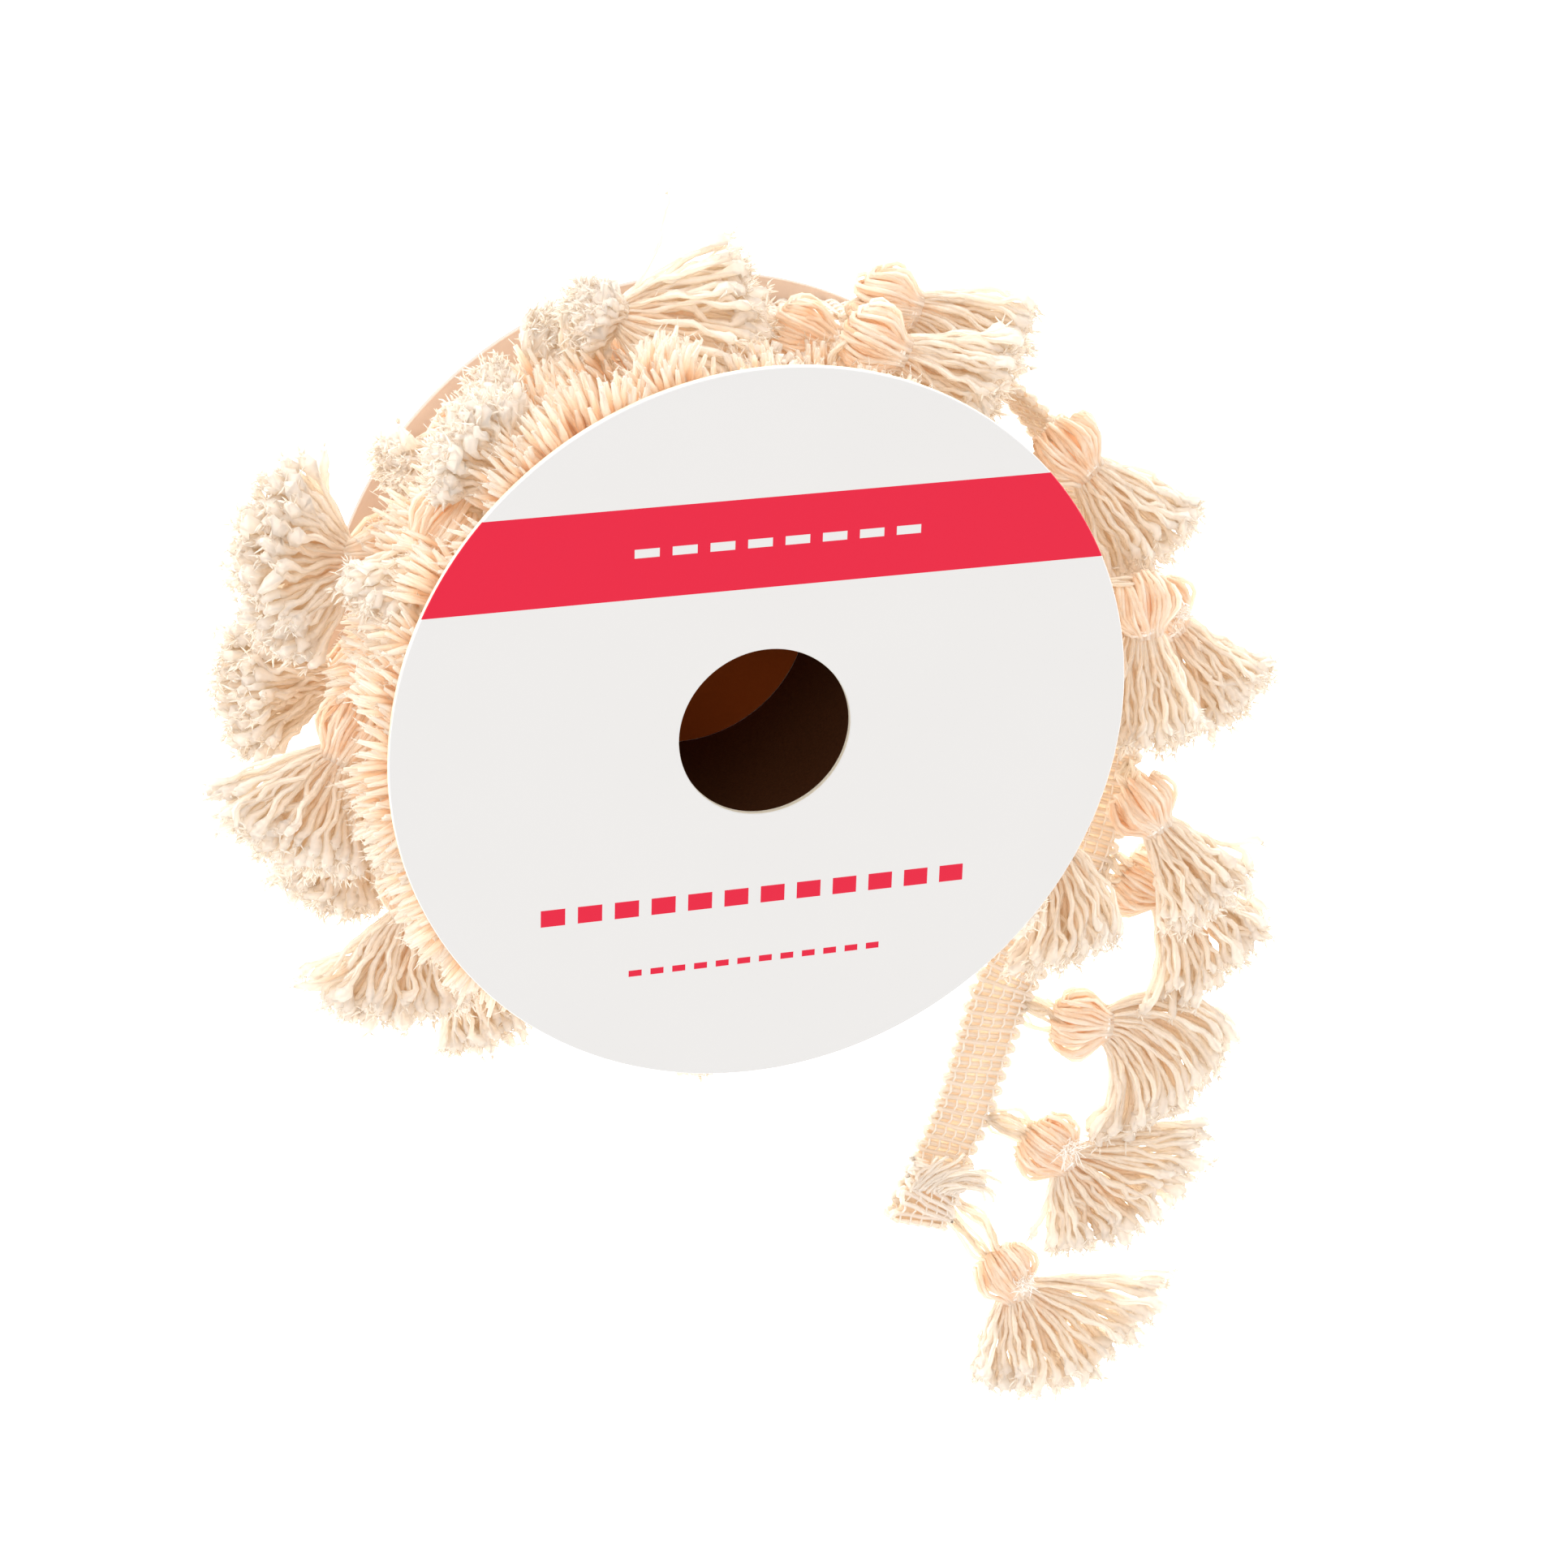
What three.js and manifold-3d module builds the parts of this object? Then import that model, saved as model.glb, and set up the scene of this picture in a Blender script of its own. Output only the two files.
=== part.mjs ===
// Tassel fringe trim on a card reel, lying on the reel's back disc with its loose end on the floor.
// Millimetres, +Z up. The reel's axle is the Z axis until the last lines, which centre the whole.
import * as THREE from 'three';
import { mergeVertices } from 'three/addons/utils/BufferGeometryUtils.js';
import Module from 'manifold-3d';

const wasm = await Module();
wasm.setup();

// The reel
const discRadius = 63.5;
const discThickness = 1.2;
const holeRadius = 14.8;
const reelHeight = 49.4;
const tubeInnerRadius = 22.7;
const tubeWall = 1.4;
const gap = 0.3;

// The wound trim: coiled heading at the bottom, a waist of links, and the packed tassels above
const coilRadius = 51.5;
const coilTop = 12.4;
const waistRadius = 49;
const waistHeight = 14.5;
const pileRadius = 56.5;
const pileHeights = [20.5, 27, 34, 41];
const pileEdge = 4;

// The woven heading of the trim
const headingWidth = 10.7;
const headingThickness = 1.7;
const ribPitch = 3;
const scallop = 0.65;
const ribDepth = 0.17;

// The end of the heading is folded back over itself, and turned a little from the way it came.
const foldRadius = 1.6;
const flapLength = 13;
const flapTurn = 12;
const flapRise = 8;

// One tassel
const headLength = 9;
const headRadius = 3.9;
const headLobe = 0.14;
const headFlatness = 0.88;
const neckRadius = 2.1;
const linkRadius = 1.1;
const linkFlare = 0.4;
const linkReach = 0.8;

// One lock of a tassel's skirt. It starts inside the neck, thin, and spreads out to its cut end.
const lockRadius = 1.75;
const lockRootSize = 0.62;
const lockRootDepth = 1.2;
const lockRootSpread = 1.26;
const lockRootTurn = 0.45;
const skirtThickness = 6.4;
const floorGrip = 0.95;

const discSides = 64;
const tubeSides = 40;
const rollSides = 68;
const headSides = 8;
const lockSides = 3;
const linkSides = 4;
const barSteps = 2;

const cotton = 0xf3e0c8;
const card = 0xeeedec;
const kraft = 0xc9ab8c;

// The lumps that the packed tassels make around the roll
const lumps = [
  { around: 17, out: 0.9, lean: 0.012 },
  { around: 7, out: 0.45, lean: -0.3 },
];

// Where the loose end of the heading runs, clockwise from the roll. lean is how far its width is tipped up
// from the floor, and rest is the height of what it stands on.
const looseEnd = [
  { x: -9.4, y: 52.7, lean: 90, rest: 1.5 },
  { x: 6.0, y: 56.6, lean: 88, rest: 1.5 },
  { x: 25.4, y: 57.0, lean: 84, rest: 1.5 },
  { x: 45.4, y: 48.7, lean: 80, rest: 1.5 },
  { x: 62.0, y: 34.4, lean: 74, rest: 0.2 },
  { x: 75.3, y: 13.3, lean: 60, rest: 0 },
  { x: 80.2, y: -11.3, lean: 46, rest: 0 },
  { x: 80.3, y: -32.4, lean: 30, rest: 0 },
  { x: 77.5, y: -50.3, lean: 20, rest: 0 },
  { x: 71.6, y: -65.0, lean: 12, rest: 0 },
  { x: 63.6, y: -79.5, lean: 4, rest: 0 },
  { x: 60.3, y: -92.0, lean: 0, rest: 0 },
  { x: 57.3, y: -103.7, lean: 0, rest: 0 },
  { x: 54.0, y: -112.4, lean: 0, rest: 0 },
  { x: 51.2, y: -119.2, lean: 0, rest: 0 },
  { x: 48.2, y: -125.2, lean: 0, rest: 0 },
];

// The tassels. turn, out and up place the neck around the axle. heading is the way the tassel points, in the
// plan, and rise how far it points up. tip turns the flat of its skirt from level, splay is the angle that
// the skirt opens to, bend is how far it curls in its own flat, and reach is its length. slant is how much
// longer one edge of the skirt lies than its middle. rib is the rib of the loose heading that it hangs from,
// and the tassels with none come out of the roll.
const tassels = [
  { turn: 105, out: 68.4, up: 27, heading: 4, rise: -12, tip: -50, splay: 62, bend: -4, reach: 23 },
  { turn: 118, out: 64, up: 15.5, heading: 104, rise: 34, tip: 20, splay: 56, bend: -30, reach: 12 },
  { turn: 126, out: 65.3, up: 25, heading: 150, rise: 14, tip: 0, splay: 72, bend: 0, reach: 15 },
  { turn: 134, out: 65.4, up: 39.5, heading: 178, rise: 8, tip: 30, splay: 60, bend: 0, reach: 12 },
  { turn: 141, out: 60, up: 8.5, heading: -170, rise: 8, tip: 0, splay: 40, bend: 0, reach: 12 },
  { turn: 150, out: 62, up: 35, heading: -130, rise: 5, tip: 25, splay: 60, bend: 0, reach: 14 },
  { turn: 158, out: 68.5, up: 21, heading: 178, rise: 4, tip: 8, splay: 120, bend: 0, reach: 19 },
  { turn: 180, out: 64.5, up: 10, heading: -175, rise: 2, tip: 0, splay: 56, bend: 0, reach: 19 },
  { turn: -174.5, out: 67, up: 27, heading: -122, rise: 0, tip: 0, splay: 62, bend: 0, reach: 22 },
  { turn: -156, out: 67, up: 12.5, heading: -118, rise: 0, tip: 0, splay: 40, bend: 0, reach: 15 },
  { turn: -145, out: 66.5, up: 25, heading: -102, rise: -4, tip: 0, splay: 46, bend: 0, reach: 22 },
  { turn: -129, out: 67, up: 12, heading: -64, rise: 0, tip: 0, splay: 40, bend: 0, reach: 21 },
  { turn: -106, out: 63, up: 27, heading: -30, rise: 0, tip: 60, splay: 44, bend: 0, reach: 20 },
  { turn: -80, out: 63.8, up: 21, heading: -4, rise: 0, tip: 60, splay: 40, bend: 0, reach: 20 },
  { turn: -52, out: 62.5, up: 33, heading: 22, rise: 0, tip: 60, splay: 40, bend: 0, reach: 19 },
  { turn: 73.5, out: 61, up: 24.5, heading: -18, rise: 0, tip: 0, splay: 30, bend: 0, reach: 10 },
  { turn: 66, out: 64, up: 33, heading: -25, rise: -4, tip: 0, splay: 44, bend: 0, reach: 22 },
  { turn: 2.5, out: 74.5, up: 30, heading: -80, rise: -2, tip: 0, splay: 36, bend: 0, reach: 23 },
  { turn: -34, out: 76, up: 20, heading: -52, rise: 0, tip: 0, splay: 46, bend: -26, reach: 24 },
  { turn: 61.5, out: 68.8, up: 19, heading: -18, rise: -5, tip: 0, splay: 46, bend: -14, reach: 24, rib: 12 },
  { turn: 24, out: 72.5, up: 19, heading: -48, rise: 2, tip: 0, splay: 46, bend: 0, reach: 24, rib: 27 },
  { turn: -3, out: 87.2, up: 13, heading: -54, rise: -4, tip: 0, splay: 44, bend: 0, reach: 24, rib: 39 },
  { turn: -26.7, out: 97, up: 12.5, heading: -54, rise: -2, tip: 0, splay: 38, bend: 0, reach: 24, rib: 51 },
  { turn: -34, out: 111.5, up: 4, heading: -32, rise: 0, tip: 0, splay: 62, bend: -24, reach: 24, rib: 57 },
  { turn: -47, out: 121.5, up: 3.7, heading: -20, rise: 0, tip: 0, splay: 64, bend: -14, reach: 26, rib: 68 },
  {
    turn: -56.7, out: 140, up: 3.7, heading: -43, rise: 0, tip: 0, splay: 92, bend: 0, reach: 22,
    slant: 0.2, rib: 76,
  },
  {
    turn: -64.7, out: 159.8, up: 3.7, heading: -63, rise: 0, tip: 0, splay: 92, bend: 0, reach: 25,
    slant: 0.2, rib: 82,
  },
];

// Where the locks of a skirt end: across its flat and through it, from edge to edge
const locks = [
  { across: -1, through: 0 },
  { across: -0.62, through: 0.8 },
  { across: -0.6, through: -0.8 },
  { across: -0.28, through: 0.05 },
  { across: 0.05, through: 1 },
  { across: 0.02, through: -1 },
  { across: 0.3, through: -0.05 },
  { across: 0.64, through: 0.8 },
  { across: 0.6, through: -0.8 },
  { across: 1, through: 0 },
];

// The outline of a head from its top to below the neck: out in head radii, and along in head lengths
const headShape = [
  { out: 0, along: -1 },
  { out: 0.74, along: -0.88 },
  { out: 1, along: -0.52 },
  { out: 0.82, along: -0.2 },
  { out: neckRadius / headRadius, along: 0 },
  { out: 1.15 * neckRadius / headRadius, along: 0.2 },
  { out: 0, along: 0.26 },
];

const rad = THREE.MathUtils.degToRad;
const lerp = THREE.MathUtils.lerp;
const clamp = THREE.MathUtils.clamp;
const up = new THREE.Vector3(0, 0, 1);

function clothMaterial(color) {
  return new THREE.MeshStandardMaterial({ color, roughness: 0.95, metalness: 0 });
}

// Moves each point of a geometry to where place says.
function moved(geometry, place) {
  const points = geometry.attributes.position;
  const point = new THREE.Vector3();
  for (let i = 0; i < points.count; i += 1) {
    point.fromBufferAttribute(points, i);
    const there = place(point);
    points.setXYZ(i, there.x, there.y, there.z);
  }
  return geometry;
}

// The closed mesh of a geometry, with its shared points merged and its flat triangles left out.
function closed(geometry) {
  geometry.deleteAttribute('normal');
  geometry.deleteAttribute('uv');
  const merged = mergeVertices(geometry);
  const corners = merged.index.array;
  const kept = [];
  for (let i = 0; i < corners.length; i += 3) {
    const [a, b, c] = corners.slice(i, i + 3);
    if (a !== b && b !== c && c !== a) {
      kept.push(a, b, c);
    }
  }
  merged.setIndex(kept);
  return merged;
}

function solidOf(geometry) {
  const merged = closed(geometry);
  return new wasm.Manifold(new wasm.Mesh({
    numProp: 3,
    vertProperties: new Float32Array(merged.attributes.position.array),
    triVerts: new Uint32Array(merged.index.array),
  }));
}

function geometryOf(solid) {
  const mesh = solid.getMesh();
  const geometry = new THREE.BufferGeometry();
  geometry.setAttribute('position', new THREE.BufferAttribute(mesh.vertProperties, 3));
  geometry.setIndex(new THREE.BufferAttribute(mesh.triVerts, 1));
  return geometry;
}

function piece(name, geometry, material) {
  geometry.computeVertexNormals();
  const mesh = new THREE.Mesh(geometry, material);
  mesh.name = name;
  return mesh;
}

// A ring turned about the axle from its inner and outer radius, bottom and top. It is a disc if inner is 0.
function ring(inner, outer, bottom, top, sides) {
  const profile = [
    new THREE.Vector2(inner, bottom),
    new THREE.Vector2(outer, bottom),
    new THREE.Vector2(outer, top),
    new THREE.Vector2(inner, top),
    new THREE.Vector2(inner, bottom),
  ];
  return closed(new THREE.LatheGeometry(profile, sides).rotateX(Math.PI / 2));
}

// How far the wound trim reaches from the axle. The coiled heading is smooth, and the packed tassels over it
// stand out in lumps that lean around the roll.
function rollRadius(turn, height) {
  const share = (clamp(height, coilTop, waistHeight) - coilTop) / (waistHeight - coilTop);
  const coil = lerp(coilRadius, waistRadius, share);
  const packed = THREE.MathUtils.smoothstep(height, waistHeight, pileHeights[0]);
  const lump = lumps.reduce((sum, row) => sum + row.out * Math.sin(turn * row.around + height * row.lean), 0);
  return lerp(coil, pileRadius, packed) + packed * lump;
}

function woundRoll() {
  const inner = tubeInnerRadius + tubeWall + gap;
  const bottom = discThickness + gap;
  const top = reelHeight - discThickness - gap;
  const profile = [
    new THREE.Vector2(inner, bottom),
    new THREE.Vector2(coilRadius, bottom),
    new THREE.Vector2(coilRadius, coilTop),
    new THREE.Vector2(waistRadius, waistHeight),
    ...pileHeights.map((height) => new THREE.Vector2(pileRadius, height)),
    new THREE.Vector2(pileRadius - pileEdge, top),
    new THREE.Vector2(inner, top),
    new THREE.Vector2(inner, bottom),
  ];
  const lathe = new THREE.LatheGeometry(profile, rollSides).rotateX(Math.PI / 2);
  const lumpy = moved(lathe, (point) => {
    const out = Math.hypot(point.x, point.y);
    const packed = out > inner + gap && point.z > waistHeight;
    if (!packed) {
      return point;
    }
    const turn = Math.atan2(point.y, point.x);
    const wanted = rollRadius(turn, point.z) + out - pileRadius;
    return new THREE.Vector3(wanted * Math.cos(turn), wanted * Math.sin(turn), point.z);
  });
  return closed(lumpy);
}

const looseCurve = new THREE.CatmullRomCurve3(
  looseEnd.map((p) => new THREE.Vector3(p.x, p.y, 0)), false, 'catmullrom', 0.5,
);
const layLength = looseCurve.getLength();
const looseRibs = Math.round((layLength + Math.PI * foldRadius + flapLength) / ribPitch);
const looseLength = looseRibs * ribPitch;

// The heading's centre, its direction, its width and its thickness at a distance along the part that lies.
function layFrame(distance) {
  const share = Math.min(distance / layLength, 1);
  const at = looseCurve.getUtoTmapping(share) * (looseEnd.length - 1);
  const first = Math.min(Math.floor(at), looseEnd.length - 2);
  const lean = rad(lerp(looseEnd[first].lean, looseEnd[first + 1].lean, at - first));
  const rest = lerp(looseEnd[first].rest, looseEnd[first + 1].rest, at - first);
  const along = looseCurve.getTangentAt(share);
  const outward = new THREE.Vector3().crossVectors(up, along);
  const width = outward.multiplyScalar(Math.cos(lean)).addScaledVector(up, Math.sin(lean));
  const through = new THREE.Vector3().crossVectors(along, width);
  const centre = looseCurve.getPointAt(share);
  const half = headingWidth / 2 + scallop;
  centre.z = rest + half * Math.sin(lean) + headingThickness / 2 * Math.cos(lean);
  return { centre, along, width, through };
}

// The same along the whole loose end, which turns up and back over itself at its end.
function headingFrame(distance) {
  const frame = layFrame(distance);
  const past = distance - layLength;
  if (past <= 0) {
    return frame;
  }
  const turned = Math.min(past / foldRadius, Math.PI);
  const flap = Math.max(past - Math.PI * foldRadius, 0);
  const aside = rad(flapTurn) * turned / Math.PI;
  const level = frame.along.clone().applyAxisAngle(up, aside);
  const width = frame.width.clone().applyAxisAngle(up, aside);
  const rise = flap > 0 ? rad(flapRise) : 0;
  const along = level.clone().multiplyScalar(Math.cos(turned - rise));
  along.addScaledVector(up, Math.sin(turned - rise));
  const through = new THREE.Vector3().crossVectors(along, width);
  const centre = frame.centre.clone()
    .addScaledVector(level, foldRadius * Math.sin(turned))
    .addScaledVector(up, foldRadius * (1 - Math.cos(turned)))
    .addScaledVector(along, flap);
  return { centre, along, width, through };
}

// The loose heading: a thin band whose edges stand out in a loop at each rib.
function looseHeading() {
  const box = new THREE.BoxGeometry(2, 1, 1, 1, 1, looseRibs * 2);
  return closed(moved(box, (point) => {
    const share = clamp(point.z + 0.5, 0, 1);
    const { centre, width, through } = headingFrame(share * looseLength);
    const wave = Math.cos(share * looseRibs * 2 * Math.PI);
    const half = headingWidth / 2 + scallop * wave;
    const thick = headingThickness - ribDepth * (1 - wave);
    return centre.addScaledVector(width, point.x * half).addScaledVector(through, point.y * thick);
  }));
}

function direction(heading, rise) {
  const level = Math.cos(rad(rise));
  return new THREE.Vector3(
    level * Math.cos(rad(heading)), level * Math.sin(rad(heading)), Math.sin(rad(rise)),
  );
}

// The directions of a tassel: the way it points, across the flat of its skirt, and through it.
function tasselFrame(t) {
  const along = direction(t.heading, t.rise);
  const level = direction(t.heading + 90, 0);
  const upward = new THREE.Vector3().crossVectors(along, level);
  const across = level.multiplyScalar(Math.cos(rad(t.tip))).addScaledVector(upward, Math.sin(rad(t.tip)));
  const through = new THREE.Vector3().crossVectors(along, across);
  const neck = new THREE.Vector3(t.out * Math.cos(rad(t.turn)), t.out * Math.sin(rad(t.turn)), t.up);
  return { along, across, through, neck };
}

// A tapered bar along a path, its thin end first. path gives the centre at a share of its length.
function bar(path, radius, sides, across, through) {
  const rod = new THREE.CylinderGeometry(0, 1, 1, sides, barSteps);
  return solidOf(moved(rod, (point) => {
    const share = 0.5 - point.y;
    const centre = path(share);
    const size = radius(share);
    return centre.addScaledVector(across, point.x * size).addScaledVector(through, point.z * size);
  }));
}

// A lock of the skirt, from inside the neck to its cut end. Nothing reaches below the floor.
function lock(t, frame, row) {
  const { along, across, through, neck } = frame;
  const radius = (share) => lockRadius * lerp(lockRootSize, 1, share);
  const path = (share) => {
    const turned = rad(t.splay / 2 * row.across * lerp(lockRootTurn, 1, share) + t.bend * share);
    const far = t.reach * share * (1 + (t.slant ?? 0) * row.across);
    const close = lockRootSpread * (1 - share);
    const point = neck.clone()
      .addScaledVector(along, far * Math.cos(turned) - lockRootDepth * (1 - share))
      .addScaledVector(across, far * Math.sin(turned) + close * row.across)
      .addScaledVector(through, row.through * lerp(close, skirtThickness / 2, share));
    const underside = share > 0 ? floorGrip * lockRadius : 0;
    point.z = Math.max(point.z, underside);
    return point;
  };
  return bar(path, radius, lockSides, across, through);
}

// The head: the yarns of the tassel turned over the link and tied at the neck, in two lobes.
function head(frame) {
  const { along, across, through, neck } = frame;
  const profile = headShape.map((row) => new THREE.Vector2(row.out * headRadius, row.along * headLength));
  const lathe = new THREE.LatheGeometry(profile, headSides);
  return solidOf(moved(lathe, (point) => {
    const side = Math.atan2(point.z, point.x);
    const lobed = point.y < 0 ? 1 + headLobe * Math.cos(2 * side) : 1;
    return neck.clone()
      .addScaledVector(along, point.y)
      .addScaledVector(across, point.x * lobed)
      .addScaledVector(through, -point.z * lobed * headFlatness);
  }));
}

// Where the link of a tassel starts: at the loose heading's outer edge, or at the roll under its head.
function rootOf(t, top) {
  if (t.rib) {
    const { centre, width } = headingFrame(t.rib * ribPitch);
    return centre.addScaledVector(width, headingWidth / 2 + scallop + gap);
  }
  const turn = Math.atan2(top.y, top.x);
  const out = rollRadius(turn, top.z) + 2 * gap;
  return new THREE.Vector3(out * Math.cos(turn), out * Math.sin(turn), top.z);
}

function link(t, frame) {
  const top = frame.neck.clone().addScaledVector(frame.along, -headLength * linkReach);
  const root = rootOf(t, top);
  const way = top.clone().sub(root).normalize();
  const side = new THREE.Vector3().crossVectors(way, frame.along).normalize();
  const other = new THREE.Vector3().crossVectors(way, side);
  const path = (share) => root.clone().lerp(top, share);
  const radius = (share) => linkRadius * (1 + linkFlare * share);
  return bar(path, radius, linkSides, side, other);
}

function tassel(t) {
  const frame = tasselFrame(t);
  let whole = head(frame).add(link(t, frame));
  for (const row of locks) {
    whole = whole.add(lock(t, frame, row));
  }
  return geometryOf(whole);
}

function cardReel() {
  const reel = new THREE.Group();
  const tubeOuter = tubeInnerRadius + tubeWall;
  const frontBottom = reelHeight - discThickness;
  const back = ring(0, discRadius, 0, discThickness, discSides);
  const front = ring(holeRadius, discRadius, frontBottom, reelHeight, discSides);
  const tube = ring(tubeInnerRadius, tubeOuter, discThickness + gap, frontBottom - gap, tubeSides);
  reel.add(piece('back_disc', back, clothMaterial(kraft)));
  reel.add(piece('front_disc', front, clothMaterial(card)));
  reel.add(piece('core_tube', tube, clothMaterial(kraft)));
  return reel;
}

function trim() {
  const whole = new THREE.Group();
  whole.add(piece('wound_roll', woundRoll(), clothMaterial(cotton)));
  whole.add(piece('loose_heading', looseHeading(), clothMaterial(cotton)));
  tassels.forEach((t, i) => {
    const number = String(i + 1).padStart(2, '0');
    whole.add(piece(`tassel_${number}`, tassel(t), clothMaterial(cotton)));
  });
  return whole;
}

const group = new THREE.Group();
group.add(cardReel(), trim());

// The origin is at the middle of the footprint, on the floor.
const size = new THREE.Box3().setFromObject(group);
const middle = size.getCenter(new THREE.Vector3());
group.position.set(-middle.x, -middle.y, -size.min.z);

export default group;
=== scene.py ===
"""Tassel fringe trim on a card reel: the looks. Metres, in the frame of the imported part."""

import math
from itertools import zip_longest

import bpy
import numpy as np
from mathutils import Matrix, Vector


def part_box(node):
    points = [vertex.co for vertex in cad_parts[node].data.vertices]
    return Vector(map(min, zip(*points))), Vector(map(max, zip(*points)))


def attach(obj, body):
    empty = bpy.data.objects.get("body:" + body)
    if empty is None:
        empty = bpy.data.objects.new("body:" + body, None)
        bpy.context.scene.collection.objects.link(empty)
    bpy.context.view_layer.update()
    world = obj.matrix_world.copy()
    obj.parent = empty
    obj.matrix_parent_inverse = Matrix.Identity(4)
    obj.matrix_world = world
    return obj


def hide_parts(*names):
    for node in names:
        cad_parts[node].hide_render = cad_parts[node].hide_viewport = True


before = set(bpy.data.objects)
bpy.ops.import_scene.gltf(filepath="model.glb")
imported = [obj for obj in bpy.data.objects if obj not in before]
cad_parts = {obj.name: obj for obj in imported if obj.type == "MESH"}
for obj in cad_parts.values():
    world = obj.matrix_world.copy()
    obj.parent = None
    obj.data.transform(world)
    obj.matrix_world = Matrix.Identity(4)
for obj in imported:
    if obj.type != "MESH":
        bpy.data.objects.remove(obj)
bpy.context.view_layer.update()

MM = 0.001
TAU = 2 * math.pi


def rgb(red, green, blue):
    """A colour given as it looks on screen, from 0 to 255."""
    return tuple((c / 255) ** 2.2 for c in (red, green, blue)) + (1.0,)


# The reel. All lengths are in millimetres, but for those of materials, lamps and the floor
DISC_RADIUS = 63.5
DISC_THICKNESS = 1.2
DISC_SOFT = 0.14
DISC_SIDES = 360
HOLE_RADIUS = 14.8
REEL_HEIGHT = 49.4
TUBE_INNER = 22.7
TUBE_WALL = 1.4
TUBE_SOFT = 0.1
TUBE_CLEAR = 0.02
TUBE_SIDES = 180
GAP = 0.3

# The underside of the front disc
CEILING = REEL_HEIGHT - DISC_THICKNESS

# The back disc has no hole: its faces meet at this radius
DISC_MIDDLE = 0.01

# The wound trim: its heading at the foot, the waist over it, and the pile of packed tassels
COIL_RADIUS = 51.5
COIL_TOP = 12.4
WAIST_RADIUS = 49
WAIST_HEIGHT = 14.5
PILE_RADIUS = 56.5
PILE_BOTTOM = 20.5
PILE_EDGE = 4
BODY_SINK = 2.0
BODY_SIDES = 150

# The pile's tufts: how far they reach from the axle, their rows, how many are in a row and in a tuft
PILE_MOST = 62.3
PILE_LOWEST = 9.5
PILE_ROWS = (17.5, 24.0, 31.0, 38.0, 43.5)
PILE_AROUND = 38
PILE_YARNS = 25
PILE_TALL = 24
TUFT_SINK = 3.0

# Between these turns the ends stand out further, where nothing presses on them
PILE_LOOSE = 6.5
LOOSE_FROM = 1.6
LOOSE_TO = 4.15
LOOSE_EASE = 0.3

# The short cut ends between the tufts
STUB_COUNT = 3000
STUB_LOWEST = 15.5
STUB_HIGHEST = 45.5
STUB_SINK = 2.4

# The woven heading
HEADING_WIDTH = 10.7
HEADING_THICKNESS = 1.7
RIB_PITCH = 3
SCALLOP = 0.65
FOLD_RADIUS = 1.6
FLAP_LENGTH = 13
FLAP_TURN = 12
FLAP_RISE = 8
CORD = 0.56
WARP = 0.24
EDGE_INSET = 0.35

# The thin cloth under the loose heading's cords, dark in painted shade between them: half its thickness,
# and its edge inside the heading's
CLOTH_THICK = 0.3
CLOTH_EDGE = 0.3

# One tassel
HEAD_LENGTH = 9
HEAD_RADIUS = 3.9
NECK_RADIUS = 2.1
NECK_WIDE = 1.35
HEAD_WIDE = 1.38
HEAD_OVER = 0.38
SKIRT_RISE = 5.2
SKIRT_SINK = 3.4
SKIRT_EDGE = 1.4
ROOT_TURN = 1.2
SKIRT_YARNS = 66
SKIRT_YARNS_EACH_DEGREE = 0.44

# The bends of a skirt's yarns: waves along the yarn, and weight
SKIRT_WAVES = ((1.1, 1.0), (2.3, 0.75), (3.9, 0.5))

# The turn from each yarn of a bundle to the next, which spreads them evenly
GOLDEN_TURN = 2.39996

# A yarn's radius, the length and swelling of its opened end, its plies, and its clearance over the floor
YARN = 0.42
PUFF_LENGTH = 5.0
PUFF_SWELL = 0.95
PILE_SWELL = 0.75
PLY_PITCH = 2.4
FLOOR_CLEAR = 0.02

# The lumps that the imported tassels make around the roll: how many, how far out and how they lean
LUMPS = ((17, 0.9, 0.012), (7, 0.45, -0.3))

# Where the loose end of the heading runs: x, y, lean of its width from the floor, and height of its rest
LOOSE_END = (
    (-9.4, 52.7, 90, 1.5), (6.0, 56.6, 88, 1.5), (25.4, 57.0, 84, 1.5), (45.4, 48.7, 80, 1.5),
    (62.0, 34.4, 74, 0.2), (75.3, 13.3, 60, 0), (80.2, -11.3, 46, 0), (80.3, -32.4, 30, 0),
    (77.5, -50.3, 20, 0), (71.6, -65.0, 12, 0), (63.6, -79.5, 4, 0), (60.3, -92.0, 0, 0),
    (57.3, -103.7, 0, 0), (54.0, -112.4, 0, 0), (51.2, -119.2, 0, 0), (48.2, -125.2, 0, 0),
)

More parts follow.
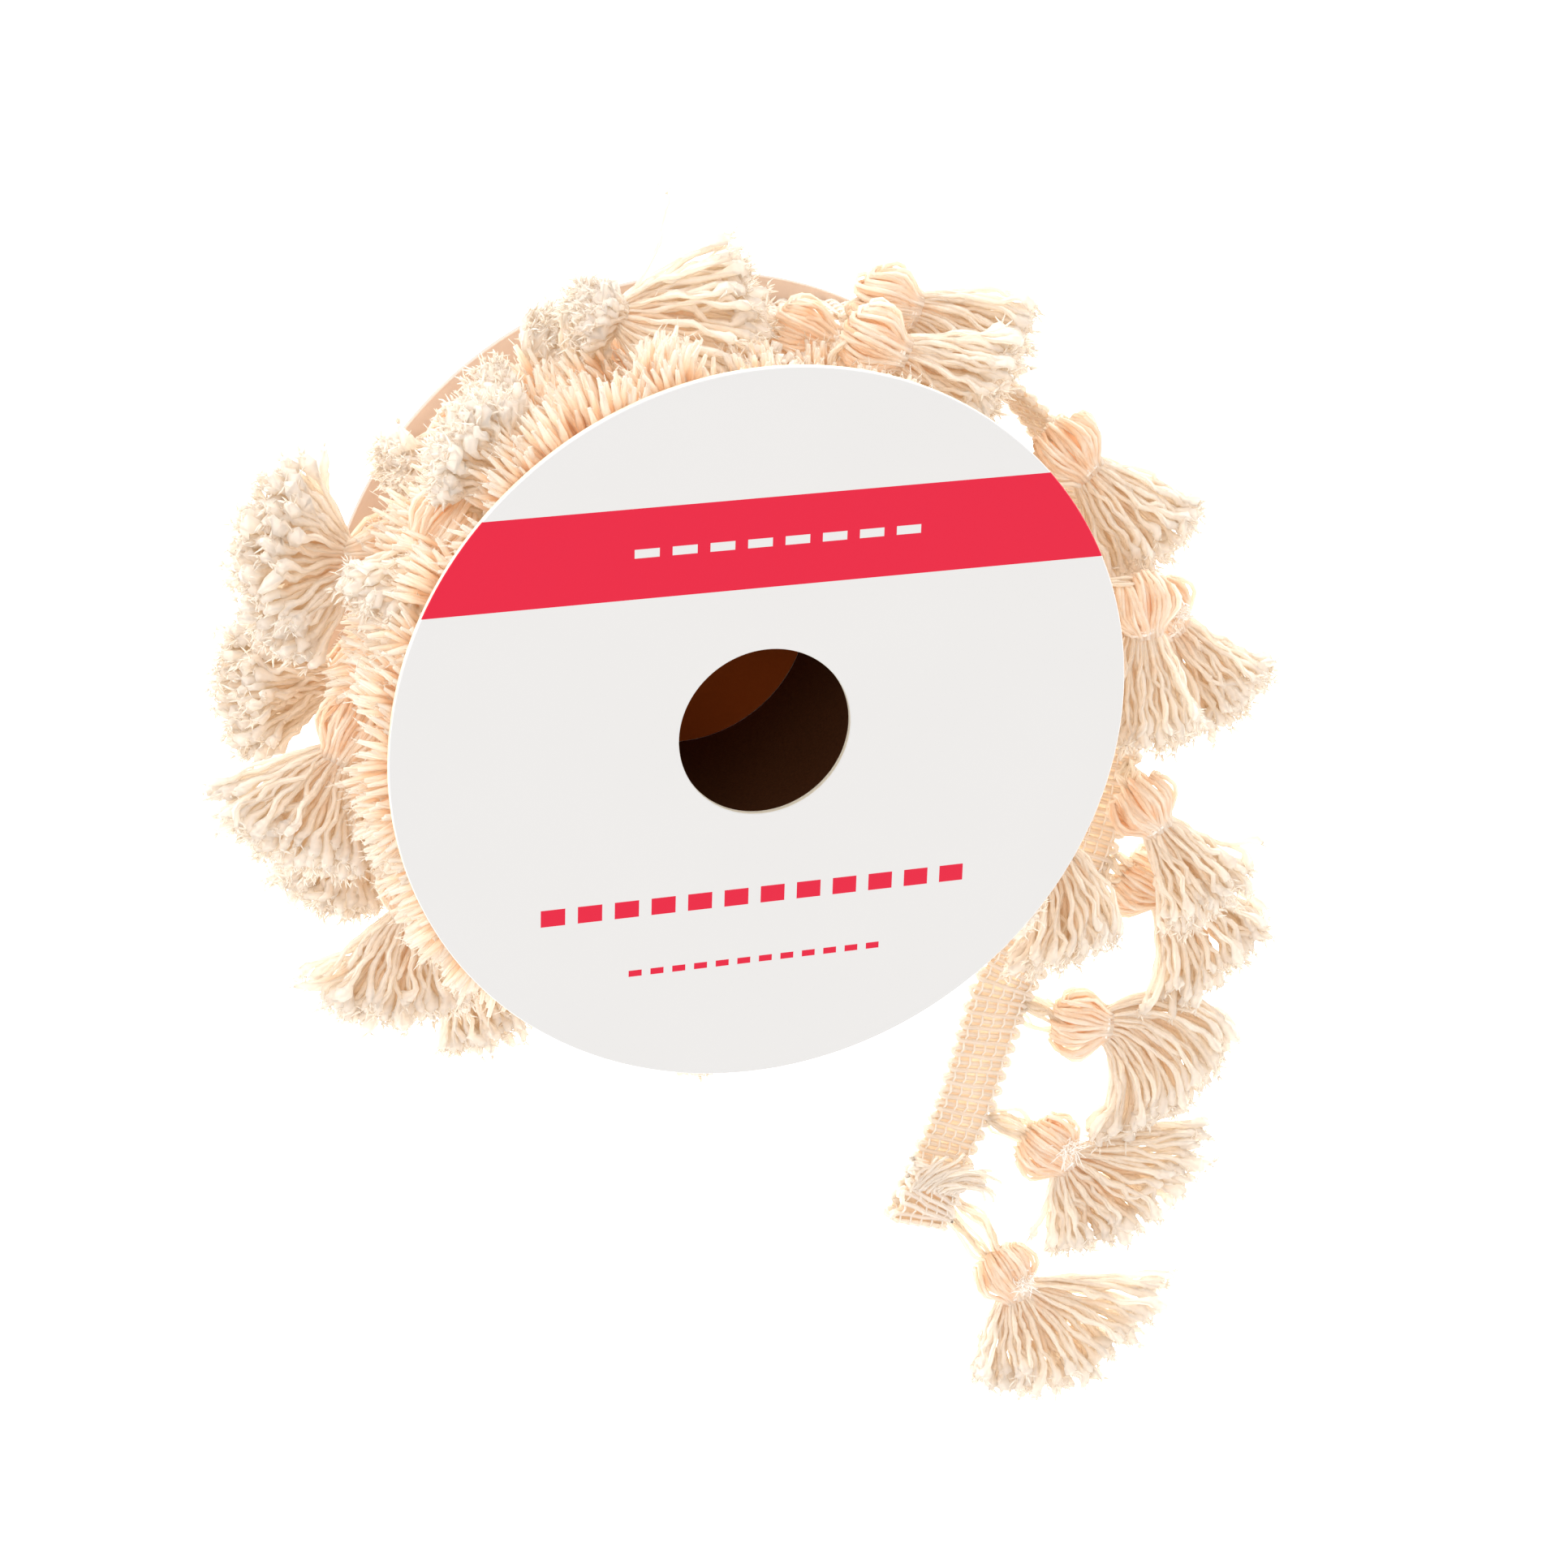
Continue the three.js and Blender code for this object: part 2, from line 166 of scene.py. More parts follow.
# Each tassel: turn, out and up of its neck about the axle, heading and rise of its direction, tip of the
# skirt's flat, splay, bend, reach, slant, and the rib of the loose heading that it hangs from, if any
TASSEL_COLUMNS = ("turn", "out", "up", "heading", "rise", "tip", "splay", "bend", "reach", "slant", "rib")
TASSELS = (
    (106.5, 68.6, 27, -13, 2, -38, 84, -6, 26),
    (118, 63, 15.5, 104, 34, 20, 50, -30, 9),
    (126, 62, 25, 150, 8, 0, 72, 0, 9),
    (132, 62.6, 39.5, 142, -20, 0, 104, 0, 12),
    (141, 60, 8.5, -170, 8, 0, 40, 0, 8.5),
    (150, 62, 35, -130, 5, 25, 60, 0, 14),
    (158, 68.5, 21, 178, 4, 8, 120, 0, 19),
    (180, 64.5, 10, -175, 2, 0, 76, 0, 19),
    (-174.5, 67, 27, -122, 0, 0, 80, 0, 22),
    (-156, 67, 12.5, -118, 0, 0, 66, 0, 16),
    (-145, 66.5, 25, -102, -4, 0, 68, 0, 22),
    (-129, 67, 12, -64, 0, 0, 60, 0, 21),
    (-106, 63, 27, -30, 0, 60, 44, 0, 20),
    (-80, 63.8, 21, -4, 0, 60, 40, 0, 20),
    (-52, 62.5, 33, 22, 0, 60, 40, 0, 19),
    (73.5, 61, 24.5, -18, 0, 0, 30, 0, 10),
    (66, 64, 33, -25, -4, 0, 44, 0, 22),
    (2.5, 74.5, 30, -80, -2, 0, 36, 0, 23),
    (-34, 76, 20, -52, 0, 0, 46, -26, 24),
    (61.5, 68.8, 19, -18, -5, 0, 46, -14, 24, 0, 12),
    (24, 72.5, 19, -48, 2, 0, 46, 0, 24, 0, 27),
    (-3, 87.2, 13, -54, -4, 0, 44, 0, 24, 0, 39),
    (-26.7, 97, 12.5, -54, -2, 0, 38, 0, 24, 0, 51),
    (-34, 111.5, 4, -32, 0, 0, 62, -24, 24, 0, 57),
    (-47, 121.5, 3.7, -8, 0, 0, 80, -42, 26, 0.05, 68),
    (-56.7, 140, 3.7, -43, 0, 0, 96, 0, 24, 0.24, 76),
    (-64.7, 159.8, 3.7, -61, 0, 0, 98, 0, 25.5, 0.26, 82),
)

# The tassel whose folded end has come undone, and the row of the short brush that it makes
UNDONE = {1: (106.5, 68.6, 27, 168, -4, -30, 84, 0, 8.5)}

# The tassels with fluff caught on their heads, and how far it reaches
LINTY = {22: 2.0, 26: 2.6, 27: 2.2}

# The yarn's colours by shade tone, which paints shade: dark and warm in the depth of the yarns, pale at
# their frayed ends; then its flecks and the light through it
COTTON_STOPS = (
    (0.0, rgb(226, 168, 124)),
    (0.1, rgb(244, 198, 156)),
    (0.26, rgb(250, 223, 196)),
    (0.5, rgb(252, 243, 230)),
    (1.0, rgb(250, 248, 244)),
)
COTTON_FLECK = rgb(232, 208, 182)
COTTON_THROUGH = rgb(253, 247, 235)

# A painted warm glow on every yarn, in place of the light that scatters deep between the yarns, which a few
# bounces don't reach
PAINTED_GLOW = 0.165
PAINTED_GLOW_COLOUR = rgb(255, 201, 150)

# The label's colours, each with its second shade
LABEL_WHITE = (rgb(217, 215, 213), rgb(212, 210, 208))
LABEL_RED = (rgb(215, 9, 53), rgb(209, 14, 57))
LABEL_EDGE = (rgb(248, 240, 222), rgb(226, 208, 180))

# The label's band, and its rows of marks: start, end, pitch, length, middle and half height, in disc radii
PRINT_DEPTH = 0.12
BAND_FROM = 0.407
BAND_TO = 0.654
WHITE_MARKS = (-0.36, 0.44, 0.1, 0.066, 0.531, 0.012)
BOLD_MARKS = (-0.6, 0.6, 0.1, 0.066, -0.47, 0.024)
THIN_MARKS = (-0.36, 0.36, 0.06, 0.036, -0.66, 0.009)

# Bare card: its face, its cut edge, its specks, and a painted shade, the deep warm colour of the back disc's
# middle inside the tube, where the light is dim
KRAFT = (rgb(222, 200, 181), rgb(172, 170, 176), rgb(200, 174, 152), rgb(204, 92, 30))
TUBE = (rgb(84, 42, 20), rgb(120, 74, 42), rgb(62, 30, 14))

FLOOR_GLOW = 1.7
FLOOR_REACH = 6.0

# The photograph's side and the camera's focal length in its pixels, and the camera's place from the middle
# of the front disc's face, in millimetres
PHOTO_SIDE = 1932
FOCAL = 5500
SENSOR = 36
CAMERA_PLACE = (-207.1, 300.8, 639.7)
CAMERA_RIGHT = (0.95337698, 0.02755563, 0.30052124)
CAMERA_DOWN = (-0.1020958, -0.90765287, 0.40711512)
CAMERA_AHEAD = (0.28398729, -0.41881613, -0.86252204)

# The sky's strength at the horizon and overhead, and how high it has faded
SKY_LOW = 1.9
SKY_HIGH = 1.05
SKY_FADE = 0.5

# The outline of a head from its top to the neck: along in head lengths, and out in head radii
HEAD_ALONG = (-1.0, -0.88, -0.52, -0.2, 0.0, 0.2)
HEAD_OUT = (0.18, 0.74, 1.0, 0.82, 0.54, 0.6)

low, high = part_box("front_disc")
AXLE = np.array([(low[0] + high[0]) / 2, (low[1] + high[1]) / 2, 0.0]) / MM
UP = np.array([0.0, 0, 1])


def unit(v):
    return v / np.maximum(np.linalg.norm(v, axis=-1, keepdims=True), 1e-9)


def ease(x):
    """0 to 1 with a soft start and end."""
    x = np.clip(x, 0, 1)
    return x * x * (3 - 2 * x)


def mix(a, b, share):
    return a + (b - a) * share


def level_way(turn):
    """The level directions at angles round the axle."""
    return np.stack([np.cos(turn), np.sin(turn), 0 * turn], axis=-1)


def shares(steps):
    """From 0 to 1 along strands, to go with arrays of strands x steps x 3."""
    return np.linspace(0, 1, steps)[None, :, None]


def raise_to(path, least):
    """Lifts the points of a path that are under a height."""
    path[..., 2] = np.maximum(path[..., 2], least)


def settle(height, radius):
    """Keeps yarns above the floor, and lets those that would sink lie beside each other."""
    floor = np.maximum(radius, 0.2) * 0.9 + FLOOR_CLEAR
    over = height - floor
    return np.where(over > 1.2, height, floor + 1.2 * np.exp(np.minimum(over - 1.2, 0) / 1.2))


def new_object(name, data):
    """An object of these data, in the scene."""
    obj = bpy.data.objects.new(name, data)
    bpy.context.scene.collection.objects.link(obj)
    return obj


# Meshes


class Batch:
    """Gathers the points, faces and looks of many small shapes that become one mesh. Each point has a shade
    tone, a painted shade that darkens the depth of the yarns, with some random variation, and a glow, and
    each face corner has a ply, its angle round a twisted yarn."""

    def __init__(self):
        self.points = []
        self.shade_tones = []
        self.glows = []
        self.corners = []
        self.plies = []
        self.counts = []
        self.used = 0

    def hold(self, points, shade_tones, glow):
        """Keeps a grid of points, and returns the grid of their numbers. shade_tones is a number or such a
        grid.
        """
        grid = points.shape[:-1]
        count = math.prod(grid)
        self.points.append(points.reshape(-1, 3))
        self.shade_tones.append(np.broadcast_to(shade_tones, grid).ravel())
        self.glows.append(np.full(count, glow))
        self.used += count
        return np.arange(self.used - count, self.used).reshape(grid)

    def face(self, faces, plies=0.0):
        self.corners.append(faces.ravel())
        self.plies.append(np.broadcast_to(plies, faces.shape).ravel())
        self.counts.append(np.full(len(faces), faces.shape[1]))

    def piece(self, name, material, nodes=(), smooth=True):
        points = (np.concatenate(self.points) + AXLE) * MM
        points[:, 2] = np.maximum(points[:, 2], 0)
        corners = np.concatenate(self.corners).astype(np.int32)
        counts = np.concatenate(self.counts).astype(np.int32)
        mesh = bpy.data.meshes.new(name)
        mesh.vertices.add(len(points))
        mesh.vertices.foreach_set("co", points.astype(np.float32).ravel())
        mesh.loops.add(len(corners))
        mesh.loops.foreach_set("vertex_index", corners)
        mesh.polygons.add(len(counts))
        starts = np.concatenate(([0], np.cumsum(counts)[:-1])).astype(np.int32)
        mesh.polygons.foreach_set("loop_start", starts)
        mesh.polygons.foreach_set("use_smooth", np.full(len(counts), smooth))
        mesh.update(calc_edges=True)
        for label, domain, values in (("shade_tone", "POINT", self.shade_tones), ("glow", "POINT", self.glows),
                                      ("ply", "CORNER", self.plies)):
            layer = mesh.attributes.new(label, "FLOAT", domain)
            layer.data.foreach_set("value", np.concatenate(values).astype(np.float32))
        mesh.materials.append(material)
        obj = new_object(name, mesh)
        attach(obj, "root")
        if nodes:
            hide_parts(*nodes)
        return obj


def grid_faces(index):
    """The faces between neighbours in a grid of point numbers that closes round its last axis."""
    after = np.roll(index, -1, axis=-1)
    corners = [index[..., :-1, :], after[..., :-1, :], after[..., 1:, :], index[..., 1:, :]]
    return np.stack(corners, axis=-1).reshape(-1, 4)


def strands(batch, paths, radius, sides=4, flat=1.0, twist=0.0, shade_tone=0.5, phase=0.0, glow=0.5, rough=None,
            pitch=PLY_PITCH):
    """Adds closed strands that follow paths, S x N x 3. radius is a number, or S x N. flat is the section's
    length over its width, twist its turns from step to step, shade_tone the painted shade, a number or S x N,
    and rough how uneven the radius is, with a random source."""
    count, steps, _ = paths.shape
    radius = np.broadcast_to(radius, (count, steps))
    shade_tone = np.broadcast_to(shade_tone, (count, steps))
    phase = np.broadcast_to(phase, (count,))
    along = unit(np.gradient(paths, axis=1))
    first = np.where(np.abs(along[:, 0, 2:3]) < 0.8, UP, np.array([1.0, 0, 0]))
    side = np.empty_like(paths)
    side[:, 0] = unit(np.cross(along[:, 0], first))
    for i in range(1, steps):
        carried = side[:, i - 1]
        carried = carried - along[:, i] * np.sum(carried * along[:, i], axis=1, keepdims=True)
        side[:, i] = unit(carried)
    other = np.cross(along, side)
    corner = TAU * np.arange(sides) / sides
    wide, thin = math.sqrt(flat), 1 / math.sqrt(flat)
    turned = TAU * twist * np.arange(steps)[None, :] + phase[:, None]
    u = wide * np.cos(corner)[None, None, :]
    v = thin * np.sin(corner)[None, None, :]
    c, s = np.cos(turned)[..., None], np.sin(turned)[..., None]
    reach = np.repeat(radius[..., None], sides, axis=2)
    if rough is not None:
        amount, rng = rough
        reach = reach * (1 + amount[..., None] * rng.uniform(-1, 1, reach.shape))
    a = (u * c - v * s) * reach
    b = (u * s + v * c) * reach
    points = paths[:, :, None, :] + side[:, :, None, :] * a[..., None] + other[:, :, None, :] * b[..., None]
    index = batch.hold(points, shade_tone[..., None], glow)
    moved = np.linalg.norm(np.diff(paths, axis=1), axis=2)
    length = np.concatenate([np.zeros((count, 1)), np.cumsum(moved, axis=1)], axis=1) * TAU / pitch
    length = length + phase[:, None]
    here, there = corner[None, None, :], (corner + TAU / sides)[None, None, :]
    near, far = length[:, :-1, None], length[:, 1:, None]
    plies = np.stack([near + here, near + there, far + there, far + here], axis=-1).reshape(-1, 4)
    batch.face(grid_faces(index), plies)
    batch.face(index[:, 0, ::-1], length[:, :1])
    batch.face(index[:, -1, :], length[:, -1:])


def tube(batch, points, shade_tone, glow=0.0, inward=False):
    """Adds a solid of rings of points, rings x sides x 3, closed at both ends. inward turns its faces."""
    index = batch.hold(points, shade_tone, glow)
    quads, caps = grid_faces(index), np.stack([index[0, ::-1], index[-1]])
    if inward:
        quads, caps = quads[:, [0, 3, 2, 1]], caps[:, ::-1]
    batch.face(quads)
    batch.face(caps)


def lathe(batch, profile, sides, shade_tone, shape=None):
    """Adds a solid turned about the axle. profile is a closed ring of (out, up). shape moves its points."""
    turns = TAU * np.arange(sides) / sides
    out, up = np.array(profile, dtype=float).T[..., None]
    points = level_way(turns)[:, None] * out + UP * up
    if shape:
        points = shape(points)
    index = batch.hold(points, shade_tone, 0.0).T
    batch.face(grid_faces(np.vstack([index, index[:1]])))


# Materials


class Nodes:
    """A material's node tree, with short ways to add a node and join it."""

    def __init__(self, name):
        self.material = bpy.data.materials.new(name)
        self.material.use_nodes = True
        self.tree = self.material.node_tree
        self.shader = self.tree.nodes["Principled BSDF"]
        self.output = self.tree.nodes["Material Output"]

    def add(self, kind, inputs=None, **settings):
        node = self.tree.nodes.new(kind)
        for key, value in settings.items():
            setattr(node, key, value)
        for key, value in (inputs or {}).items():
            self.put(node.inputs[key], value)
        return node

    def put(self, socket, value):
        if isinstance(value, bpy.types.NodeSocket):
            self.tree.links.new(value, socket)
        else:
            socket.default_value = value

    def math(self, operation, a, b=0.0):
        return self.add("ShaderNodeMath", {0: a, 1: b}, operation=operation).outputs[0]

    def times(self, a, b):
        return self.math("MULTIPLY", a, b)

    def between(self, value, low, high):
        """1 between the two and 0 elsewhere."""
        return self.times(self.math("GREATER_THAN", value, low), self.math("LESS_THAN", value, high))

    def blend(self, share, a, b):
        node = self.add("ShaderNodeMix", data_type="RGBA")
        self.put(node.inputs[0], share)
        self.put(node.inputs[6], a)
        self.put(node.inputs[7], b)
        return node.outputs[2]

    def noise(self, scale, detail=2.0, where=None):
        """Clouds from about 0.3 to 0.7, scale of them a metre."""
        inputs = {"Scale": scale, "Detail": detail}
        if where:
            inputs["Vector"] = where
        return self.add("ShaderNodeTexNoise", inputs).outputs[0]

    def place(self):
        return self.add("ShaderNodeTexCoord").outputs["Object"]

    def ramp(self, value, low, high):
        """0 below low and 1 above high."""
        return self.add("ShaderNodeMapRange", {0: value, 1: low, 2: high}).outputs[0]

    def attribute(self, name):
        return self.add("ShaderNodeAttribute", attribute_name=name, attribute_type="GEOMETRY").outputs["Fac"]

    def finish(self, colour, values):
        """Sets the shader's colour, and plain values by the names of its sockets."""
        self.put(self.shader.inputs["Base Color"], colour)
        for key, value in values.items():
            self.shader.inputs[key].default_value = value

    def bump(self, strength, distance, height):
        bump = self.add("ShaderNodeBump", {"Strength": strength, "Distance": distance, "Height": height})
        self.put(self.shader.inputs["Normal"], bump.outputs[0])


def cotton_material():
    """Soft undyed yarn, with a painted warm glow. shade_tone is a painted shade, 0 in the depth of the yarns
    and 1 at their frayed ends, and glow is how much light comes through."""
    n = Nodes("cotton_yarn")
    place = n.place()
    shade_tone = n.attribute("shade_tone")
    patches = n.ramp(n.noise(240, 3, place), 0.35, 0.7)
    fibres = n.noise(3600, 2, place)
    # Painted shade: the shade tone darkens and warms the yarns in their depth
    depth = n.math("ADD", n.times(patches, 0.2), shade_tone)
    stops = n.add("ShaderNodeValToRGB", {0: depth})
    ramp = stops.color_ramp
    for position, _ in COTTON_STOPS[1:-1]:
        ramp.elements.new(position)
    for i, (_, colour) in enumerate(COTTON_STOPS):
        ramp.elements[i].color = colour
    colour = n.blend(n.times(n.ramp(fibres, 0.55, 0.75), 0.2), stops.outputs[0], COTTON_FLECK)
    # Painted glow: a faint warm emission on every yarn
    n.finish(colour, {
        "Roughness": 0.92, "Specular IOR Level": 0.18, "Sheen Weight": 0.5, "Sheen Roughness": 0.6,
        "Emission Color": PAINTED_GLOW_COLOUR, "Emission Strength": PAINTED_GLOW,
    })
    ridges = n.math("ABSOLUTE", n.math("SINE", n.attribute("ply")))
    n.bump(0.3, 0.00008, n.math("ADD", ridges, n.times(fibres, 0.5)))
    through = n.add("ShaderNodeBsdfTranslucent", {"Color": COTTON_THROUGH})
    both = n.add("ShaderNodeMixShader", {
        0: n.attribute("glow"), 1: n.shader.outputs[0], 2: through.outputs[0],
    })
    n.put(n.output.inputs["Surface"], both.outputs[0])
    return n.material


def card_material(name, face, edge, speckle, middle_shade=None):
    """Board with a paper face and pulpy cut edges. middle_shade is a painted shade, its deep warm colour
    within the tube, if it has one.
    """
    n = Nodes(name)
    place = n.place()
    normal = n.add("ShaderNodeNewGeometry").outputs["Normal"]
    upright = n.math("ABSOLUTE", n.add("ShaderNodeSeparateXYZ", {0: normal}).outputs[2])
    fibres = n.noise(2400, 4, n.add("ShaderNodeMapping", {"Vector": place, "Scale": (1, 1, 3)}).outputs[0])
    clouds = n.noise(60, 3, place)
    flecks = n.ramp(n.noise(900, 3, place), 0.62, 0.78)
    paper = n.blend(n.times(flecks, 0.35), face, speckle)
    paper = n.blend(n.times(clouds, 0.18), paper, speckle)
    # Painted shade: the back disc's middle inside the tube is coloured for the dim warm light there
    if middle_shade:
        paper = n.blend(n.math("LESS_THAN", from_axle(n, place)[3], TUBE_INNER * MM), paper, middle_shade)
    pulp = n.blend(fibres, edge, speckle)
    colour = n.blend(n.ramp(upright, 0.4, 0.8), pulp, paper)
    n.finish(colour, {"Roughness": 0.82, "Specular IOR Level": 0.25})
    n.bump(0.25, 0.0001, fibres)
    return n.material


def from_axle(n, place):
    """x, y and z from the axle, and the distance from it."""
    centre = n.add("ShaderNodeVectorMath", {0: place, 1: tuple(AXLE * MM)}, operation="SUBTRACT").outputs[0]
    parts = n.add("ShaderNodeSeparateXYZ", {0: centre}).outputs
    squares = n.math("ADD", n.times(parts[0], parts[0]), n.times(parts[1], parts[1]))
    return parts[0], parts[1], parts[2], n.math("SQRT", squares)


def dashes(n, along, across, start, end, pitch, length, middle, half):
    """1 inside a row of dashes from start to end, each of the length, and half to either side of middle."""
    step = n.math("FRACT", n.math("DIVIDE", n.math("SUBTRACT", along, start), pitch))
    dash = n.math("LESS_THAN", step, length / pitch)
    near = n.math("LESS_THAN", n.math("ABSOLUTE", n.math("SUBTRACT", across, middle)), half)
    return n.times(n.times(n.between(along, start, end), dash), near)


def label_material():
    """The front disc: a white printed face with a red band and plain red and white stitch marks, and a cream
    cut edge."""
    n = Nodes("label_card")
    place = n.place()
    radius = DISC_RADIUS * MM
    x, y, z, _ = from_axle(n, place)
    upper = n.math("GREATER_THAN", z, (REEL_HEIGHT - PRINT_DEPTH) * MM)
    white = n.blend(n.times(n.noise(45, 3, place), 0.4), *LABEL_WHITE)
    red = n.blend(n.times(n.noise(300, 2, place), 0.3), *LABEL_RED)
    band = n.between(y, BAND_FROM * radius, BAND_TO * radius)
    stitch, bold, thin = [
        dashes(n, x, y, *(value * radius for value in row)) for row in (WHITE_MARKS, BOLD_MARKS, THIN_MARKS)
    ]
    face = n.blend(band, white, red)
    face = n.blend(stitch, face, white)
    face = n.blend(n.math("MAXIMUM", bold, thin), face, red)
    edge = n.blend(n.noise(1500, 3, place), *LABEL_EDGE)
    n.finish(n.blend(upper, edge, face), {"Roughness": 0.5, "Specular IOR Level": 0.35})
    n.bump(0.05, 0.0001, n.noise(1800, 3, place))
    return n.material


def floor_material():
    """A white surface that glows like a light table."""
    n = Nodes("floor_white")
    colour = n.blend(n.noise(8, 2, n.place()), (0.97, 0.97, 0.97, 1), (0.98, 0.98, 0.98, 1))
    n.finish(colour, {
        "Roughness": 1.0, "Specular IOR Level": 0.0, "Emission Color": (1, 1, 1, 1),
        "Emission Strength": FLOOR_GLOW,
    })
    return n.material


# The loose heading


def spline(points, dense):
    """A uniform Catmull-Rom curve through points with loosened ends, sampled dense times a span."""
    first = 2 * points[0] - points[1]
    last = 2 * points[-1] - points[-2]
    p = np.vstack([first, points, last])
    spans = []
    for i in range(len(points) - 1):
        a, b, c, d = p[i:i + 4]
        t = np.linspace(0, 1, dense, endpoint=False)[:, None]
        spans.append(0.5 * (2 * b + (c - a) * t + (2 * a - 5 * b + 4 * c - d) * t ** 2
                            + (3 * b - a - 3 * c + d) * t ** 3))
    spans.append(points[-1:])
    return np.vstack(spans)


def lay_line():
    """The part of the heading that lies: distances along it, and there its place, lean and rest."""
    table = np.array(LOOSE_END, dtype=float)
    dense = 200
    line = spline(table[:, :2], dense)
    where = np.minimum(np.arange(len(line)) / dense, len(table) - 1)
    lean = np.radians(np.interp(where, np.arange(len(table)), table[:, 2]))
    rest = np.interp(where, np.arange(len(table)), table[:, 3])
    steps = np.linalg.norm(np.diff(line, axis=0), axis=1)
    distance = np.concatenate(([0], np.cumsum(steps)))
    return distance, line, lean, rest


LAY = lay_line()
LAY_LENGTH = LAY[0][-1]
LOOSE_RIBS = round((LAY_LENGTH + math.pi * FOLD_RADIUS + FLAP_LENGTH) / RIB_PITCH)
LOOSE_LENGTH = LOOSE_RIBS * RIB_PITCH


def turn_level(v, angle):
    """v turned about the upright, each vector by its own angle."""
    c, s = np.cos(angle), np.sin(angle)
    return np.stack([v[:, 0] * c - v[:, 1] * s, v[:, 0] * s + v[:, 1] * c, v[:, 2]], axis=1)


def heading_frame(distance):
    """The centre, width direction and thickness direction at distances along the loose end."""
    distance = np.atleast_1d(distance)
    table, line, leans, rests = LAY
    on = np.clip(distance, 0, LAY_LENGTH)
    slope = np.gradient(line, axis=0)
    columns = (line[:, 0], line[:, 1], slope[:, 0], slope[:, 1], leans, rests)
    x, y, x_slope, y_slope, lean, rest = [np.interp(on, table, values) for values in columns]
    along = unit(np.stack([x_slope, y_slope, 0 * on], axis=1))
    width = np.cross(UP, along) * np.cos(lean)[:, None] + UP * np.sin(lean)[:, None]
    half = HEADING_WIDTH / 2 + SCALLOP
    height = rest + half * np.sin(lean) + HEADING_THICKNESS / 2 * np.cos(lean)
    centre = np.stack([x, y, height], axis=1)
    past = np.maximum(distance - LAY_LENGTH, 0)
    turned = np.minimum(past / FOLD_RADIUS, math.pi)
    flap = np.maximum(past - math.pi * FOLD_RADIUS, 0)
    aside = math.radians(FLAP_TURN) * turned / math.pi
    level = turn_level(along, aside)
    width = turn_level(width, aside)
    rise = np.where(flap > 0, math.radians(FLAP_RISE), 0)
    ahead = level * np.cos(turned - rise)[:, None] + UP * np.sin(turned - rise)[:, None]
    through = np.cross(ahead, width)
    centre = (centre + level * (FOLD_RADIUS * np.sin(turned))[:, None]
              + UP * (FOLD_RADIUS * (1 - np.cos(turned)))[:, None] + ahead * flap[:, None])
    return centre, width, through


def snake(crossings, half, steps):
    """A cord that goes to and fro across a band: its distance along the band and its place across, with a
    loop past the edge at each end. Returns arrays of along, across."""
    pitch = RIB_PITCH / 2
    straight = np.linspace(-1, 1, steps)
    bend = np.linspace(0, math.pi, 6)[1:-1]
    along, across = [], []
    inner = half - pitch / 2
    for k in range(crossings):
        way = 1 if k % 2 == 0 else -1
        across.append(way * inner * straight)
        along.append(np.full(steps, k * pitch))
        across.append(way * (inner + pitch * 0.75 * np.sin(bend)))
        along.append(k * pitch + pitch / 2 * (1 - np.cos(bend)))
    return np.concatenate(along), np.concatenate(across)


def woven(batch, frame_at, length, rng, layers, steps=5, shade_tone=0.5, threads=5, flap=1e9):
    """The weft cords and the warp threads of a heading, laid on a band that frame_at describes, on its two
    faces or on one. Past flap its cords are pulled askew, and are paler."""
    half = HEADING_WIDTH / 2 + SCALLOP - EDGE_INSET
    crossings = int(length / (RIB_PITCH / 2))
    along, across = snake(crossings, half, steps)
    wander = np.cumsum(rng.normal(0, 0.02, len(along)))
    wander -= np.linspace(0, wander[-1], len(along))
    for layer in layers:
        noise = rng.normal(0, 0.07, len(along))
        askew = ease((along - flap) / 3)
        where = along + noise - 0.42 * askew * across
        centre, width, through = frame_at(np.clip(where, 0, length))
        lift = layer * (0.4 + 0.25 * askew) + 0.1 * np.cos(across * 2.4 + along * TAU / RIB_PITCH)
        path = centre + width * (across + noise * (1 + 3 * askew))[:, None] + through * lift[:, None]
        shade = shade_tone + 0.35 * askew + rng.normal(0, 0.06, (1, len(along)))
        strands(batch, path[None], CORD, 4, 1.0, 0.05, shade)
    for column in np.linspace(-0.78, 0.78, threads) * half:
        for layer in layers:
            place = np.arange(0, length, RIB_PITCH / 4)
            sign = 1 if round(column * 10) % 2 else -1
            wave = np.cos(place * TAU / RIB_PITCH) * sign
            centre, width, through = frame_at(place)
            path = centre + width * (column + 0.08 * wave)[:, None]
            path = path + through * (layer * (0.72 + 0.36 * wave))[:, None]
            strands(batch, path[None], WARP, 3, 1.0, 0, shade_tone + 0.2, glow=0.4)


def heading_pieces(material):
    """The loose end: a thin woven cloth in painted shade, dark between the cords, and over it its cords,
    threads and frayed end.
    """
    rng = np.random.default_rng(5)
    shade_cloth = Batch()
    centre, width, through = heading_frame(np.linspace(0, LOOSE_LENGTH, LOOSE_RIBS * 2 + 1))
    half, thick = HEADING_WIDTH / 2 - CLOTH_EDGE, CLOTH_THICK
    ring = [(-half, -thick), (half, -thick), (half, thick), (-half, thick)]
    # Painted shade: the cloth is dark, so that it shows as shadow between the cords
    tube(shade_cloth, np.stack([centre + width * a + through * b for a, b in ring], axis=1), 0.05, 0.7)
    sheet = shade_cloth.piece("heading_shade_cloth", material, ["loose_heading"])
    cords = Batch()
    flap = LAY_LENGTH + math.pi * FOLD_RADIUS
    woven(cords, heading_frame, LOOSE_LENGTH, rng, (-1, 1), shade_tone=0.75, flap=flap)
    frayed_end(cords, rng)
    threads = cords.piece("heading_cords", material)


